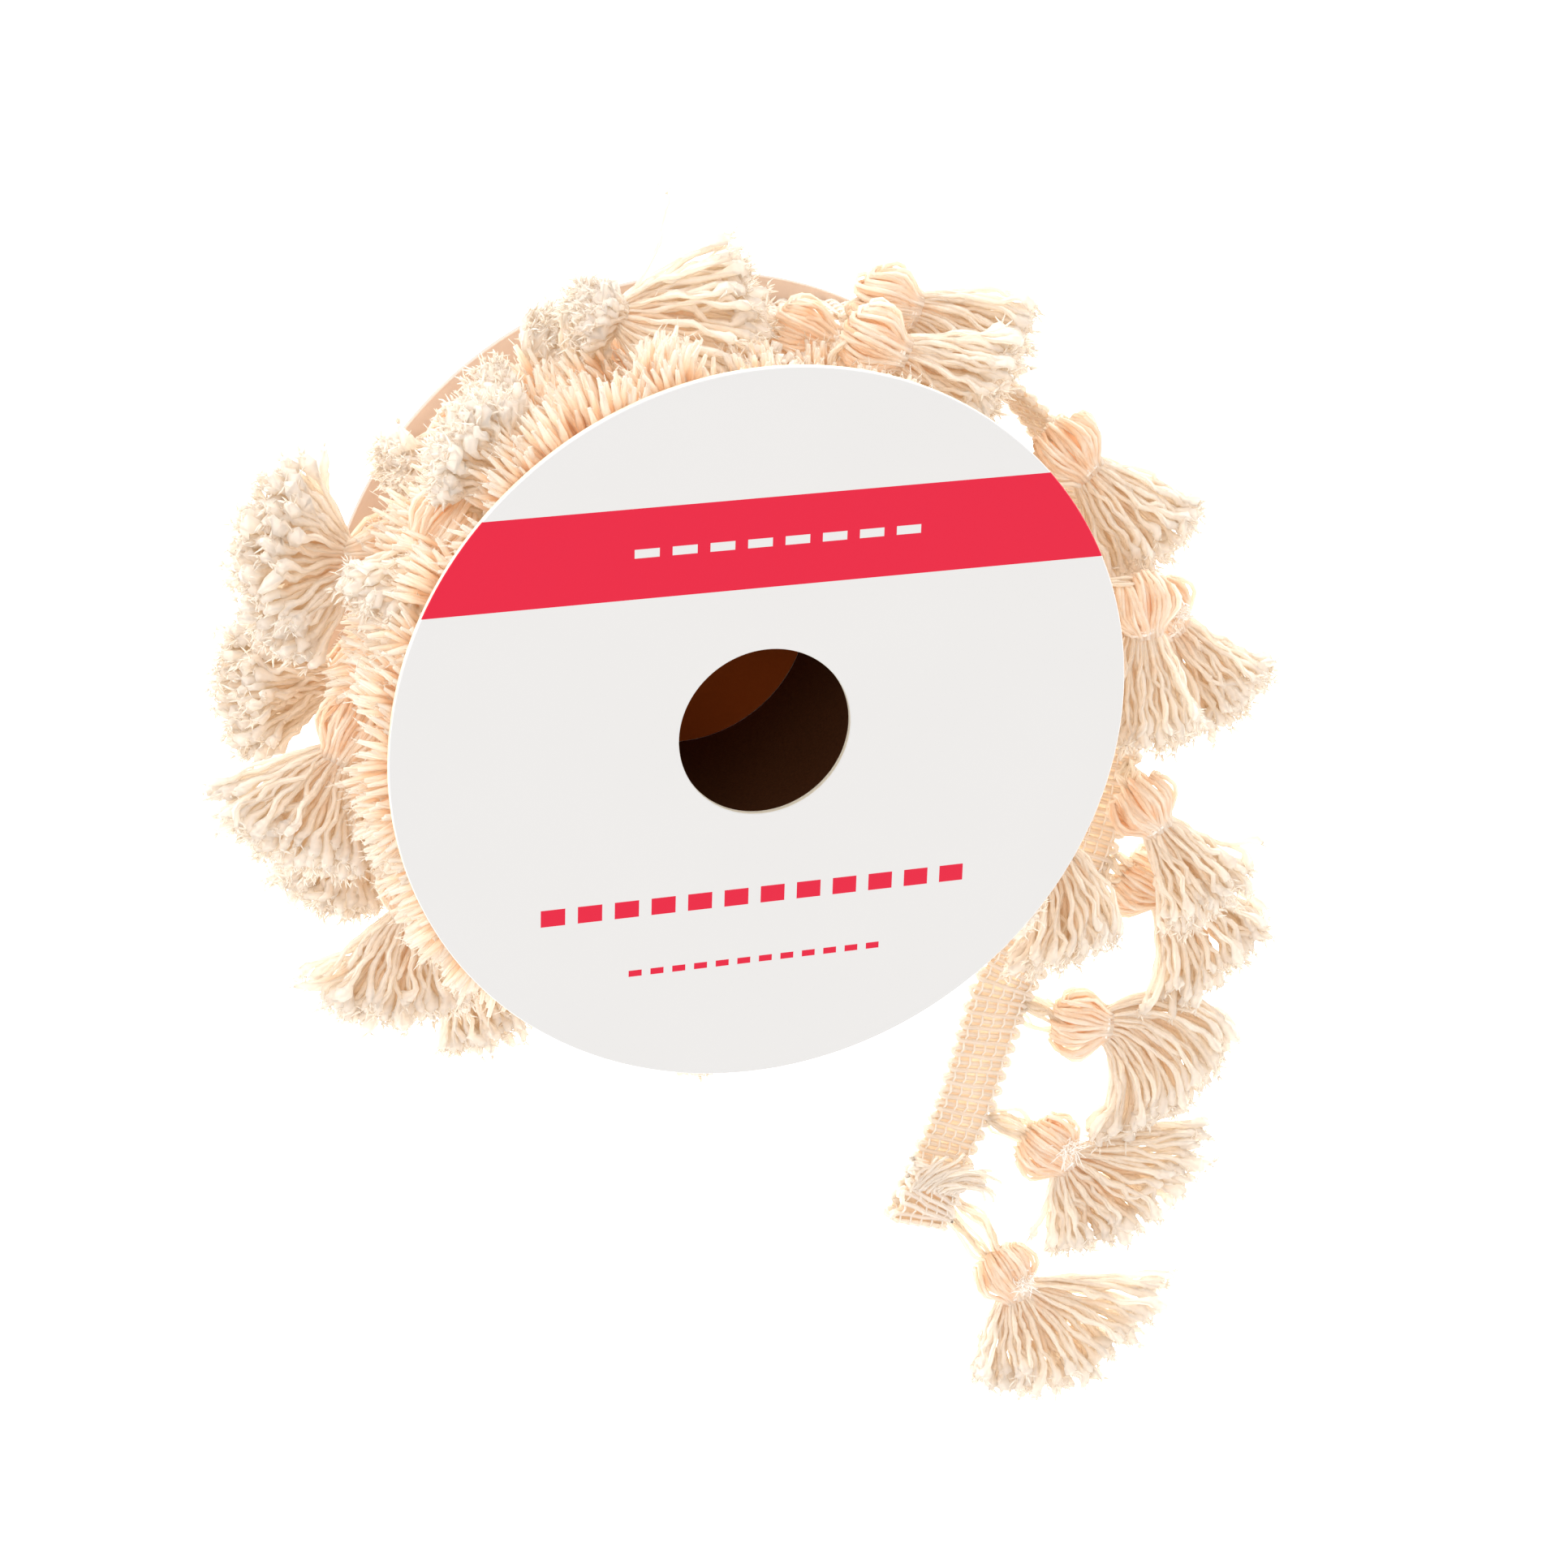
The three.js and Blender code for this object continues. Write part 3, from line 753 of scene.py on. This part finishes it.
def frayed_end(batch, rng):
    """The cut end of the flap: its cords come loose and fall aside in a broad brush."""
    centre, width, through = heading_frame(np.array([LOOSE_LENGTH - 4.0, LOOSE_LENGTH - 3.9]))
    ahead = unit(centre[1] - centre[0])
    start, side, out = centre[0], width[0], through[0]
    count = 40
    share = shares(14)
    place = np.linspace(-1, 1, count)[:, None, None]
    across = place * HEADING_WIDTH * 0.44
    reach = rng.uniform(5.5, 10, (count, 1, 1))
    turned = np.radians(mix(28, 88, (place + 1) / 2) + rng.normal(0, 9, (count, 1, 1))) * share ** 0.7
    lift = (1.0 + rng.normal(0, 0.9, (count, 1, 1)) * share + 1.2 * share * (1 - share))
    wave = rng.normal(0, 0.35, (count, 1, 1)) * np.sin(share * 7 + rng.uniform(0, 6, (count, 1, 1)))
    back = rng.uniform(-2.2, 0.6, (count, 1, 1))
    path = (start + side * (across + wave + reach * share * np.sin(turned))
            + ahead * (back + reach * share * np.cos(turned)) - out * lift)
    raise_to(path, 0.4)
    strands(batch, path, 0.38, 4, 1.4, 0.06, 0.9 + rng.normal(0, 0.08, (count, 1)))


# The tassels


def towards(heading, rise):
    """The direction at a heading from +X and a rise from the level, in degrees."""
    rise = math.radians(rise)
    return level_way(math.radians(heading)) * math.cos(rise) + UP * math.sin(rise)


class Tassel:
    """One tassel's directions, and its yarns."""

    def __init__(self, number, row):
        for key, value in zip_longest(TASSEL_COLUMNS, row, fillvalue=0):
            setattr(self, key, value)
        self.rng = np.random.default_rng(100 + number)
        self.along = towards(self.heading, self.rise)
        level = towards(self.heading + 90, 0)
        upward = np.cross(self.along, level)
        tip = math.radians(self.tip)
        self.across = level * math.cos(tip) + upward * math.sin(tip)
        self.through = np.cross(self.along, self.across)
        self.neck = towards(self.turn, 0) * self.out + UP * self.up
        self.upper = 1 if self.through[2] >= 0 else -1

    def spot(self, along, across, through):
        """Points at distances from the neck in the tassel's own three directions."""
        return (self.neck + along[..., None] * self.along + across[..., None] * self.across
                + through[..., None] * self.through)

    def skirt_path(self, a, b, share, longer, stray):
        """The middle line of yarns at a across and b through the skirt, both from -1 to 1."""
        half = math.radians(self.splay / 2)
        wider = 1 + SKIRT_EDGE / max(self.reach * math.sin(half), 1)
        turned = half * wider * a * mix(ROOT_TURN, 1, share) + np.radians(self.bend * share + stray * share)
        far = self.reach * share * (1 + self.slant * a) * longer
        close = 1.6 * (1 - share) ** 1.5
        along = far * np.cos(turned) - 0.6 * (1 - share)
        across = far * np.sin(turned) + NECK_WIDE * 1.8 * (1 - share) ** 1.2 * a
        raised = b * self.upper > 0
        thick = np.where(raised, SKIRT_RISE, SKIRT_SINK)
        through = b * (close + thick * ease(share * 1.15)) + self.upper * raised * 1.2 * b * b * share ** 3
        return along, across, through

    def skirt(self, batch):
        """The cut yarns below the neck, with their opened ends."""
        rng = self.rng
        count = round(SKIRT_YARNS + SKIRT_YARNS_EACH_DEGREE * self.splay)
        i = np.arange(count)
        far = np.sqrt((i + 0.5) / count)
        spin = i * GOLDEN_TURN + rng.uniform(0, 6)
        level = far * np.cos(spin)
        even = (level * np.sqrt(1 - level ** 2) + np.arcsin(level)) * 2 / math.pi
        a = (even + rng.normal(0, 0.05, count))[:, None]
        b = (far * np.sin(spin) + rng.normal(0, 0.05, count))[:, None]
        steps = max(int(self.reach * 0.58), 7)
        puff = 1 - PUFF_LENGTH / self.reach
        share = np.concatenate([np.linspace(0, puff, steps), np.linspace(puff, 1, 5)[1:]])[None, :]
        longer = rng.normal(0.98, 0.05, (count, 1)) - 0.22 * np.clip(b * self.upper, 0, 1) ** 1.5
        stray = rng.normal(0, 3.0, (count, 1))
        stray = stray + (rng.random((count, 1)) < 0.08) * rng.normal(0, 16, (count, 1))
        along, across, through = self.skirt_path(a, b, share, longer, stray)
        curl = 1 + 1.2 * (rng.random((count, 1)) < 0.15)
        for part, size in ((across, 0.55), (through, 0.5)):
            for waves, weight in SKIRT_WAVES:
                speed = TAU * waves * rng.uniform(0.75, 1.25, (count, 1))
                swing = np.sin(share * speed + rng.uniform(0, TAU, (count, 1)))
                part += size * weight * curl * share ** 0.8 * swing
        path = self.spot(along, across, through)
        opened = ease((share - puff) / (1 - puff) * 1.6)
        radius = YARN * mix(0.8, 1.0, ease(share * 3)) * rng.normal(1.0, 0.08, (count, 1))
        radius = radius * (1 + self.splay / 150 * share)
        radius = radius * (1 + PUFF_SWELL * opened * rng.uniform(0.6, 1.3, (count, 1)))
        radius = radius * np.where(share >= 1, 0.45, 1.0)
        path[..., 2] = settle(path[..., 2], radius)
        edge = np.clip(np.hypot(a, b), 0, 1)
        # Painted shade: yarns near the neck and inside the bundle are darker, the opened ends paler, with
        # random variation
        shade_tone = 0.12 + 0.22 * ease(share * 1.3) + 0.36 * edge ** 3 + 0.45 * opened
        shade_tone = shade_tone + rng.normal(0, 0.06, (count, 1))
        rough = (0.05 + 0.17 * opened, rng)
        strands(batch, path, radius, 4, 1.3, 0.06, shade_tone, rng.uniform(0, TAU, count), 0.5, rough)
        self.frays(batch, path)
        self.hairs(batch, path)

    def frays(self, batch, path, fibres=5):
        """Fine fibres that stand out of the opened end of each yarn."""
        rng = self.rng
        spot = rng.integers(2, 4, (len(path), fibres))
        ends = np.take_along_axis(path, -spot[..., None] + path.shape[1] + 1, axis=1).reshape(-1, 3)
        ways = np.repeat(unit(path[:, -1] - path[:, -3]), fibres, axis=0)
        count = len(ends)
        ways = unit(ways * 0.9 + rng.normal(0, 0.62, (count, 3)))
        reach = rng.uniform(0.8, 2.2, (count, 1, 1))
        share = shares(3)
        curl = rng.normal(0, 0.35, (count, 1, 3))
        lines = ends[:, None] + ways[:, None] * (0.45 + reach * share) + curl * share ** 2
        radius = np.array([0.2, 0.17, 0.05])[None, :] * rng.uniform(0.7, 1.3, (count, 1))
        raise_to(lines, radius + FLOOR_CLEAR)
        strands(batch, lines, radius, 3, 1.2, 0, mix(0.7, 1.0, rng.random((count, 1))), glow=0.45)

    def hairs(self, batch, path, count=56):
        """Fine single fibres that stand off the yarns."""
        rng = self.rng
        which = rng.integers(0, path.shape[0], count)
        spot = rng.integers(2, path.shape[1] - 1, count)
        start = path[which, spot]
        way = unit(path[which, spot] - path[which, spot - 1])
        off = unit(rng.normal(0, 1, (count, 3)))
        reach = rng.uniform(1.5, 4.2, (count, 1, 1))
        share = shares(5)
        lines = (start[:, None] + way[:, None] * reach * share * 0.8
                 + off[:, None] * reach * 0.45 * share ** 1.6)
        raise_to(lines, 0.1)
        strands(batch, lines, np.linspace(0.06, 0.03, 5)[None, :], 3, 1.0, 0, 0.95, glow=0.3)

    def head(self, batch, count=34, steps=13):
        """The yarns folded over the link in two lobes and tied at the neck, over a plain core."""
        rng = self.rng
        u = (np.linspace(-1, 1, count) + rng.normal(0, 0.07, count))[:, None]
        depth = 1 + rng.normal(0, 0.06, (count, 1))
        s = np.linspace(-1, 1, steps)[None, :]
        side = np.sign(s)
        over = np.clip(np.abs(s) / HEAD_OVER, 0, 1) * math.pi / 2
        run = np.clip((np.abs(s) - HEAD_OVER) / (1 - HEAD_OVER), 0, 1)
        down = ease(run)
        top = HEAD_LENGTH * (1.1 - 0.2 * u * u) * rng.normal(1, 0.05, (count, 1))
        round_top = 0.36 * HEAD_LENGTH
        along = -top + round_top * (1 - np.cos(over)) + (top - round_top + 0.14 * HEAD_LENGTH) * run
        parting = rng.normal(0, 0.16)
        groove = 1 - 0.42 * np.exp(-((u - parting) / 0.2) ** 2) * (1 - down)
        rim = np.sqrt(np.maximum(1 - (0.88 * u) ** 2, 0.05))
        neck = NECK_RADIUS * 0.86
        through = side * rim * groove * mix(HEAD_RADIUS * 0.9 * np.sin(over), neck, down) * depth
        wide = HEAD_WIDE * HEAD_RADIUS * (0.92 + 0.26 * np.sin(over))
        across = u * mix(wide, NECK_WIDE * neck, down) * depth
        across = across + 0.45 * np.sin(s * 4 + rng.uniform(0, 6, (count, 1))) + 0.25 * s * rng.normal(0, 1)
        path = self.spot(along, across, through)
        raise_to(path, YARN + FLOOR_CLEAR)
        # Painted shade: the yarns that lie deeper in the head are darker, with some random variation
        shade_tone = 0.24 + 1.6 * (depth - 1) + rng.normal(0, 0.06, (count, steps))
        thick = YARN * rng.uniform(0.95, 1.25, (count, 1))
        strands(batch, path, thick, 4, 1.2, 0.04, shade_tone, rng.uniform(0, TAU, count), 0.4)
        self.core(batch)
        self.thread(batch)

    def core(self, batch, sides=14):
        """The plain filling of the head, which shows only between its yarns, in the darkest painted shade."""
        place = np.linspace(-0.9, 0.2, 8)
        out = np.interp(place, HEAD_ALONG, HEAD_OUT) * HEAD_RADIUS * 0.74 - 0.3
        angle = TAU * np.arange(sides) / sides
        ring = np.broadcast_to(out[:, None], (len(place), sides))
        points = self.spot(np.broadcast_to(place[:, None] * HEAD_LENGTH, ring.shape),
                           ring * np.cos(angle) * NECK_WIDE, ring * np.sin(angle) * 0.84)
        raise_to(points, 0.3)
        # Painted shade: the darkest shade tone, seen only between the head's yarns
        tube(batch, points, 0.0, inward=True)

    def thread(self, batch, turns=3):
        """The pale thread wound round the neck."""
        share = np.linspace(0, 1, 9 * turns + 1)
        angle = TAU * turns * share + self.rng.uniform(0, 6)
        out = NECK_RADIUS + 0.32 + 0.05 * np.sin(share * 17)
        along = mix(-0.5, 0.5, share) + 0.1 * np.sin(angle * 0.5)
        path = self.spot(along, NECK_WIDE * out * np.cos(angle), out * np.sin(angle) * 0.94)[None]
        raise_to(path, 0.25)
        strands(batch, path, 0.22, 4, 1.2, 0.05, 0.9, glow=0.1, pitch=1.2)

    def root(self, top):
        """Where the link starts: at the loose heading's edge, or at the roll."""
        if self.rib:
            centre, width, _ = heading_frame(self.rib * RIB_PITCH)
            return centre[0] + width[0] * (HEADING_WIDTH / 2 + SCALLOP - 0.6)
        turn = math.atan2(top[1], top[0])
        out = roll_radius(turn, top[2]) + 0.2
        return level_way(turn) * out + UP * top[2]

    def link(self, batch, count=14, steps=9):
        """The loose yarns between the heading and the head."""
        rng = self.rng
        top = self.neck - self.along * HEAD_LENGTH * 0.92
        root = self.root(top)
        way = unit(top - root)
        side = unit(np.cross(way, UP) + 1e-6)
        other = np.cross(way, side)
        share = shares(steps)
        place = rng.uniform(-1, 1, (count, 1, 1))
        rise = rng.uniform(-0.8, 0.8, (count, 1, 1))
        length = np.linalg.norm(top - root)
        belly = np.sin(np.pi * share)
        loose = 1 + 0.5 * rng.random((count, 1, 1))
        path = (root + (top - root) * share + side * place * (1.4 + 1.7 * belly * loose)
                + other * rise * (0.7 + 1.4 * belly * loose) - UP * (0.04 * length) * belly)
        path = path + 0.4 * np.sin(share * 9 + rng.uniform(0, 6, (count, 1, 3)))
        raise_to(path, YARN + FLOOR_CLEAR + 0.5 * rng.random((count, 1)))
        strands(batch, path, YARN, 4, 1.4, 0.06, 0.5 + rng.normal(0, 0.08, (count, 1)),
                rng.uniform(0, TAU, count), 0.6)

    def lint(self, batch, spot, size, count=110):
        """A tuft of pale loose fluff caught on the head."""
        rng = self.rng
        start = spot + rng.normal(0, size * 0.4, (count, 1, 3))
        way = unit(rng.normal(0, 1, (count, 1, 3)) + UP * 0.3)
        curl = rng.normal(0, 0.6, (count, 1, 3))
        share = shares(5)
        path = start + way * size * share * 0.8 + curl * share ** 2 * size * 0.5
        raise_to(path, 0.1)
        strands(batch, path, np.linspace(0.2, 0.06, 5)[None, :], 3, 1.0, 0, 1.0, glow=0.0)


def tassel_piece(number, row, material):
    """One tassel with all its yarns as one piece."""
    tassel = Tassel(number, row)
    batch = Batch()
    tassel.skirt(batch)
    if number in UNDONE:
        Tassel(number, UNDONE[number]).skirt(batch)
    else:
        tassel.head(batch)
    tassel.link(batch)
    if number in LINTY:
        spot = tassel.neck - tassel.along * 3 + tassel.across * 2.4 + UP * 2.6
        tassel.lint(batch, spot, LINTY[number])
    batch.piece(f"tassel_{number:02d}_yarn", material, [f"tassel_{number:02d}"])


# The roll


def roll_radius(turn, height):
    """How far the wound trim reaches from the axle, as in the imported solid."""
    share = (np.clip(height, COIL_TOP, WAIST_HEIGHT) - COIL_TOP) / (WAIST_HEIGHT - COIL_TOP)
    coil = mix(COIL_RADIUS, WAIST_RADIUS, share)
    packed = ease((height - WAIST_HEIGHT) / (PILE_BOTTOM - WAIST_HEIGHT))
    lump = sum(out * np.sin(turn * around + height * lean) for around, out, lean in LUMPS)
    return mix(coil, PILE_RADIUS, packed) + packed * lump


def roll_body(batch):
    """The mass of the roll under its outer yarns."""
    inner = TUBE_INNER + TUBE_WALL + GAP
    bottom = DISC_THICKNESS + GAP
    top = CEILING - GAP
    heights = [COIL_TOP, WAIST_HEIGHT] + list(np.linspace(17, 41, 9))
    profile = [(inner, bottom), (COIL_RADIUS - 1, bottom)]
    profile += [(PILE_RADIUS, h) for h in heights] + [(PILE_RADIUS - PILE_EDGE, top), (inner, top)]

    def shape(points):
        out = np.hypot(points[..., 0], points[..., 1])
        turn = np.arctan2(points[..., 1], points[..., 0])
        free = (out > inner + 1) & (points[..., 2] >= COIL_TOP)
        wanted = roll_radius(turn, points[..., 2]) + np.minimum(out - PILE_RADIUS, 0) - BODY_SINK
        scale = np.where(free, wanted / out, 1.0)
        return np.stack([points[..., 0] * scale, points[..., 1] * scale, points[..., 2]], axis=-1)

    lathe(batch, profile, BODY_SIDES, 0.3, shape)


def stubs(batch, rng, count=STUB_COUNT):
    """Short cut ends that cover the roll's surface between the tufts, darkest at their roots in painted
    shade.
    """
    turn = rng.uniform(0, TAU, count)
    height = rng.uniform(STUB_LOWEST, STUB_HIGHEST, count)
    radial = level_way(turn)
    root = radial * (roll_radius(turn, height) - STUB_SINK)[:, None]
    root[:, 2] = height
    way = unit(radial + rng.normal(0, 0.35, (count, 3)))
    reach = rng.uniform(4.0, 6.2, (count, 1))
    path = np.stack([root, root + way * reach], axis=1)
    path[..., 2] = np.minimum(path[..., 2], CEILING - 0.9)
    # Painted shade: each end is darkest at its root
    strands(batch, path, np.array([[0.66, 0.82]]), 3, 1.2, 0.05, np.array([[-0.1, 0.5]]),
            rng.uniform(0, TAU, count), 0.3)


def coil_frame(distance):
    """The outermost turn of the wound heading, standing on the back disc."""
    through = level_way(distance / COIL_RADIUS)
    middle = DISC_THICKNESS + GAP + HEADING_WIDTH / 2 + 0.2
    centre = through * (COIL_RADIUS - 0.75) + UP * middle
    return centre, np.broadcast_to(UP, centre.shape), through


def pile_tuft(rng, turn, height, each):
    """One tuft of packed yarn ends: it leaves the roll's surface and opens like a brush."""
    loose = PILE_LOOSE * ease((turn - LOOSE_FROM) / LOOSE_EASE) * ease((LOOSE_TO - turn) / LOOSE_EASE)
    share = np.linspace(0, 1, 5)[None, :]
    radial = level_way(turn)
    high = (height - PILE_BOTTOM) / PILE_TALL
    tilt = rng.normal(mix(-0.3, 0.12, high), 0.26)
    sway = rng.normal(0, 0.42)
    way = unit(radial + np.cross(UP, radial) * sway + UP * tilt)
    first = unit(np.cross(way, UP))
    second = np.cross(way, first)
    i = np.arange(each)
    far = np.sqrt((i + 0.5) / each)[:, None]
    spin = (i * GOLDEN_TURN + rng.uniform(0, 6))[:, None]
    p, q = far * np.cos(spin), far * np.sin(spin)
    out = roll_radius(turn, height) - TUFT_SINK
    reach = (rng.uniform(6.6, 8.6) + loose) * (1 - 0.14 * far * far) * rng.normal(1, 0.1, (each, 1))
    open_to = rng.uniform(4.4, 5.6) + 0.2 * loose
    spread = mix(2.0, open_to, share ** 1.1)
    wave = [0.3 * np.sin(share * 5 + rng.uniform(0, 6, (each, 1))) for _ in range(2)]
    root = radial * out + UP * height
    path = (root + way * (reach * share)[..., None] + first * (p * spread + wave[0])[..., None]
            + second * (q * spread + wave[1])[..., None])
    path[..., 2] = np.minimum(path[..., 2], CEILING - 0.7 - 0.5 * rng.random((each, 1)))
    raise_to(path, PILE_LOWEST + 2 * rng.random((each, 1)))
    reached = np.hypot(path[..., 0], path[..., 1])
    most = PILE_MOST + loose + rng.normal(0, 0.5, (each, 1))
    path[..., :2] *= np.minimum(1, most / reached)[..., None]
    return path


def pile_piece(name, material, rng, tufts, each):
    """Tufts on one side of the roll, each yarn with an opened end and one fine fibre past it."""
    batch = Batch()
    paths = np.concatenate([pile_tuft(rng, turn, height, each) for turn, height in tufts])
    count = len(paths)
    share = np.linspace(0, 1, paths.shape[1])[None, :]
    opened = ease((share - 0.4) / 0.45)
    radius = YARN * (0.95 + PILE_SWELL * opened * rng.uniform(0.6, 1.3, (count, 1)))
    radius = radius * np.where(share >= 1, 0.5, 1.0)
    # Painted shade: the yarns are darkest deep in the roll and pale towards their ends, with random variation
    shade_tone = -0.42 + 0.95 * share ** 1.2 + rng.normal(0, 0.08, (count, 1))
    rough = (0.04 + 0.14 * opened, rng)
    strands(batch, paths, radius, 4, 1.1, 0.06, shade_tone, rng.uniform(0, TAU, count), 0.4, rough)
    ways = unit(unit(paths[:, -1] - paths[:, -2]) + rng.normal(0, 0.5, (count, 3)))
    reach = rng.uniform(0.9, 1.9, (count, 1, 1))
    lines = paths[:, -1:] + ways[:, None] * reach * shares(2)
    lines[..., 2] = np.minimum(lines[..., 2], CEILING - GAP)
    thin = np.array([0.12, 0.05])[None, :] * rng.uniform(0.7, 1.2, (count, 1))
    strands(batch, lines, thin, 3, 1.2, 0, mix(0.7, 1.0, rng.random((count, 1))))
    return batch.piece(name, material)


def roll_pieces(material):
    """The roll's body with its outer turn of heading, and the pile in two halves."""
    rng = np.random.default_rng(9)
    body = Batch()
    roll_body(body)
    stubs(body, np.random.default_rng(31))
    woven(body, coil_frame, TAU * COIL_RADIUS, rng, (1,), 3, 0.4, 3)
    body.piece("roll_heading", material, ["wound_roll"])
    tufts = []
    for row, height in enumerate(PILE_ROWS):
        for k in range(PILE_AROUND):
            turn = (k + 0.5 * (row % 2) + rng.uniform(-0.2, 0.2)) / PILE_AROUND * TAU
            tufts.append((turn % TAU, height + rng.uniform(-1.6, 1.6)))
    for k in range(2):
        part = [t for t in tufts if (t[0] < math.pi) == (k == 0)]
        pile_piece(f"roll_pile_{k + 1}", material, rng, part, PILE_YARNS)


# The card reel


def disc_profile(inner, outer, bottom, top, soft):
    """A disc's section with softened corners."""
    return [(inner, bottom + soft), (inner + soft, bottom), (outer - soft, bottom), (outer, bottom + soft),
            (outer, top - soft), (outer - soft, top), (inner + soft, top), (inner, top - soft)]


def card_piece(name, profile, sides, material, node):
    """One turned piece of card that stands for a node. Flat faces keep it crisp, and its rims have many."""
    batch = Batch()
    lathe(batch, profile, sides, 0.5)
    batch.piece(name, material, [node], smooth=False)


def reel_pieces():
    """The two discs and the tube between them."""
    kraft = card_material("kraft_card", *KRAFT)
    tube_card = card_material("tube_card", *TUBE)
    front = disc_profile(HOLE_RADIUS, DISC_RADIUS, CEILING, REEL_HEIGHT, DISC_SOFT)
    back = disc_profile(DISC_MIDDLE, DISC_RADIUS, 0.0, DISC_THICKNESS, DISC_SOFT)[1:-1]
    back.append((DISC_MIDDLE, DISC_THICKNESS))
    core = disc_profile(TUBE_INNER, TUBE_INNER + TUBE_WALL, DISC_THICKNESS + TUBE_CLEAR,
                        CEILING - TUBE_CLEAR, TUBE_SOFT)
    card_piece("front_card", front, DISC_SIDES, label_material(), "front_disc")
    card_piece("back_card", back, DISC_SIDES, kraft, "back_disc")
    card_piece("core_card", core, TUBE_SIDES, tube_card, "core_tube")


# The stage


def stage():
    mesh = bpy.data.meshes.new("floor")
    far = FLOOR_REACH
    mesh.from_pydata([(-far, -far, 0), (far, -far, 0), (far, far, 0), (-far, far, 0)], [], [(0, 1, 2, 3)])
    mesh.materials.append(floor_material())
    new_object("floor", mesh)


def camera():
    """The photograph's view, from the fit of the front disc's rim, hole and band."""
    data = bpy.data.cameras.new("camera")
    data.sensor_width = SENSOR
    data.lens = SENSOR * FOCAL / PHOTO_SIDE
    data.clip_end = 20
    obj = new_object("camera", data)
    x, y, z = CAMERA_PLACE
    place = Vector(AXLE * MM) + Vector((x, y, REEL_HEIGHT + z)) * MM
    turn = Matrix((Vector(CAMERA_RIGHT), -Vector(CAMERA_DOWN), -Vector(CAMERA_AHEAD))).transposed().to_4x4()
    obj.matrix_world = Matrix.Translation(place) @ turn
    bpy.context.scene.camera = obj


def lamp(name, place, aim, size, power, colour):
    """A round soft lamp that shines from place to aim."""
    data = bpy.data.lights.new(name, "AREA")
    data.shape = "DISK"
    data.size = size
    data.energy = power
    data.color = colour
    obj = new_object(name, data)
    obj.location = place
    obj.rotation_euler = (Vector(aim) - Vector(place)).to_track_quat("-Z", "Y").to_euler()


def lights():
    """A white sky, brighter at the horizon, a cool lamp from above and a warm low one from behind."""
    world = bpy.data.worlds.new("studio")
    bpy.context.scene.world = world
    world.use_nodes = True
    tree = world.node_tree
    way = tree.nodes.new("ShaderNodeTexCoord").outputs["Generated"]
    parts = tree.nodes.new("ShaderNodeSeparateXYZ")
    tree.links.new(way, parts.inputs[0])
    fade = tree.nodes.new("ShaderNodeMapRange")
    tree.links.new(parts.outputs[2], fade.inputs[0])
    for socket, value in zip(list(fade.inputs)[1:5], (0.0, SKY_FADE, SKY_LOW, SKY_HIGH)):
        socket.default_value = value
    background = tree.nodes["Background"]
    background.inputs["Color"].default_value = (1, 1, 1, 1)
    tree.links.new(fade.outputs[0], background.inputs["Strength"])
    lamp("key", (-0.45, 0.5, 0.8), (0, 0, 0), 0.4, 1.1, (0.95, 0.975, 1.0))
    lamp("back", (0.6, -0.75, 0.22), (0.03, -0.05, 0.02), 0.4, 2.0, (1.0, 0.95, 0.88))
    cycles = bpy.context.scene.cycles
    cycles.max_bounces = 8
    cycles.diffuse_bounces = 6
    cycles.transmission_bounces = 8
    bpy.context.scene.view_settings.view_transform = "Standard"


def main():
    camera()
    lights()
    stage()
    cotton = cotton_material()
    reel_pieces()
    roll_pieces(cotton)
    heading_pieces(cotton)
    for number, row in enumerate(TASSELS, 1):
        tassel_piece(number, row, cotton)


main()
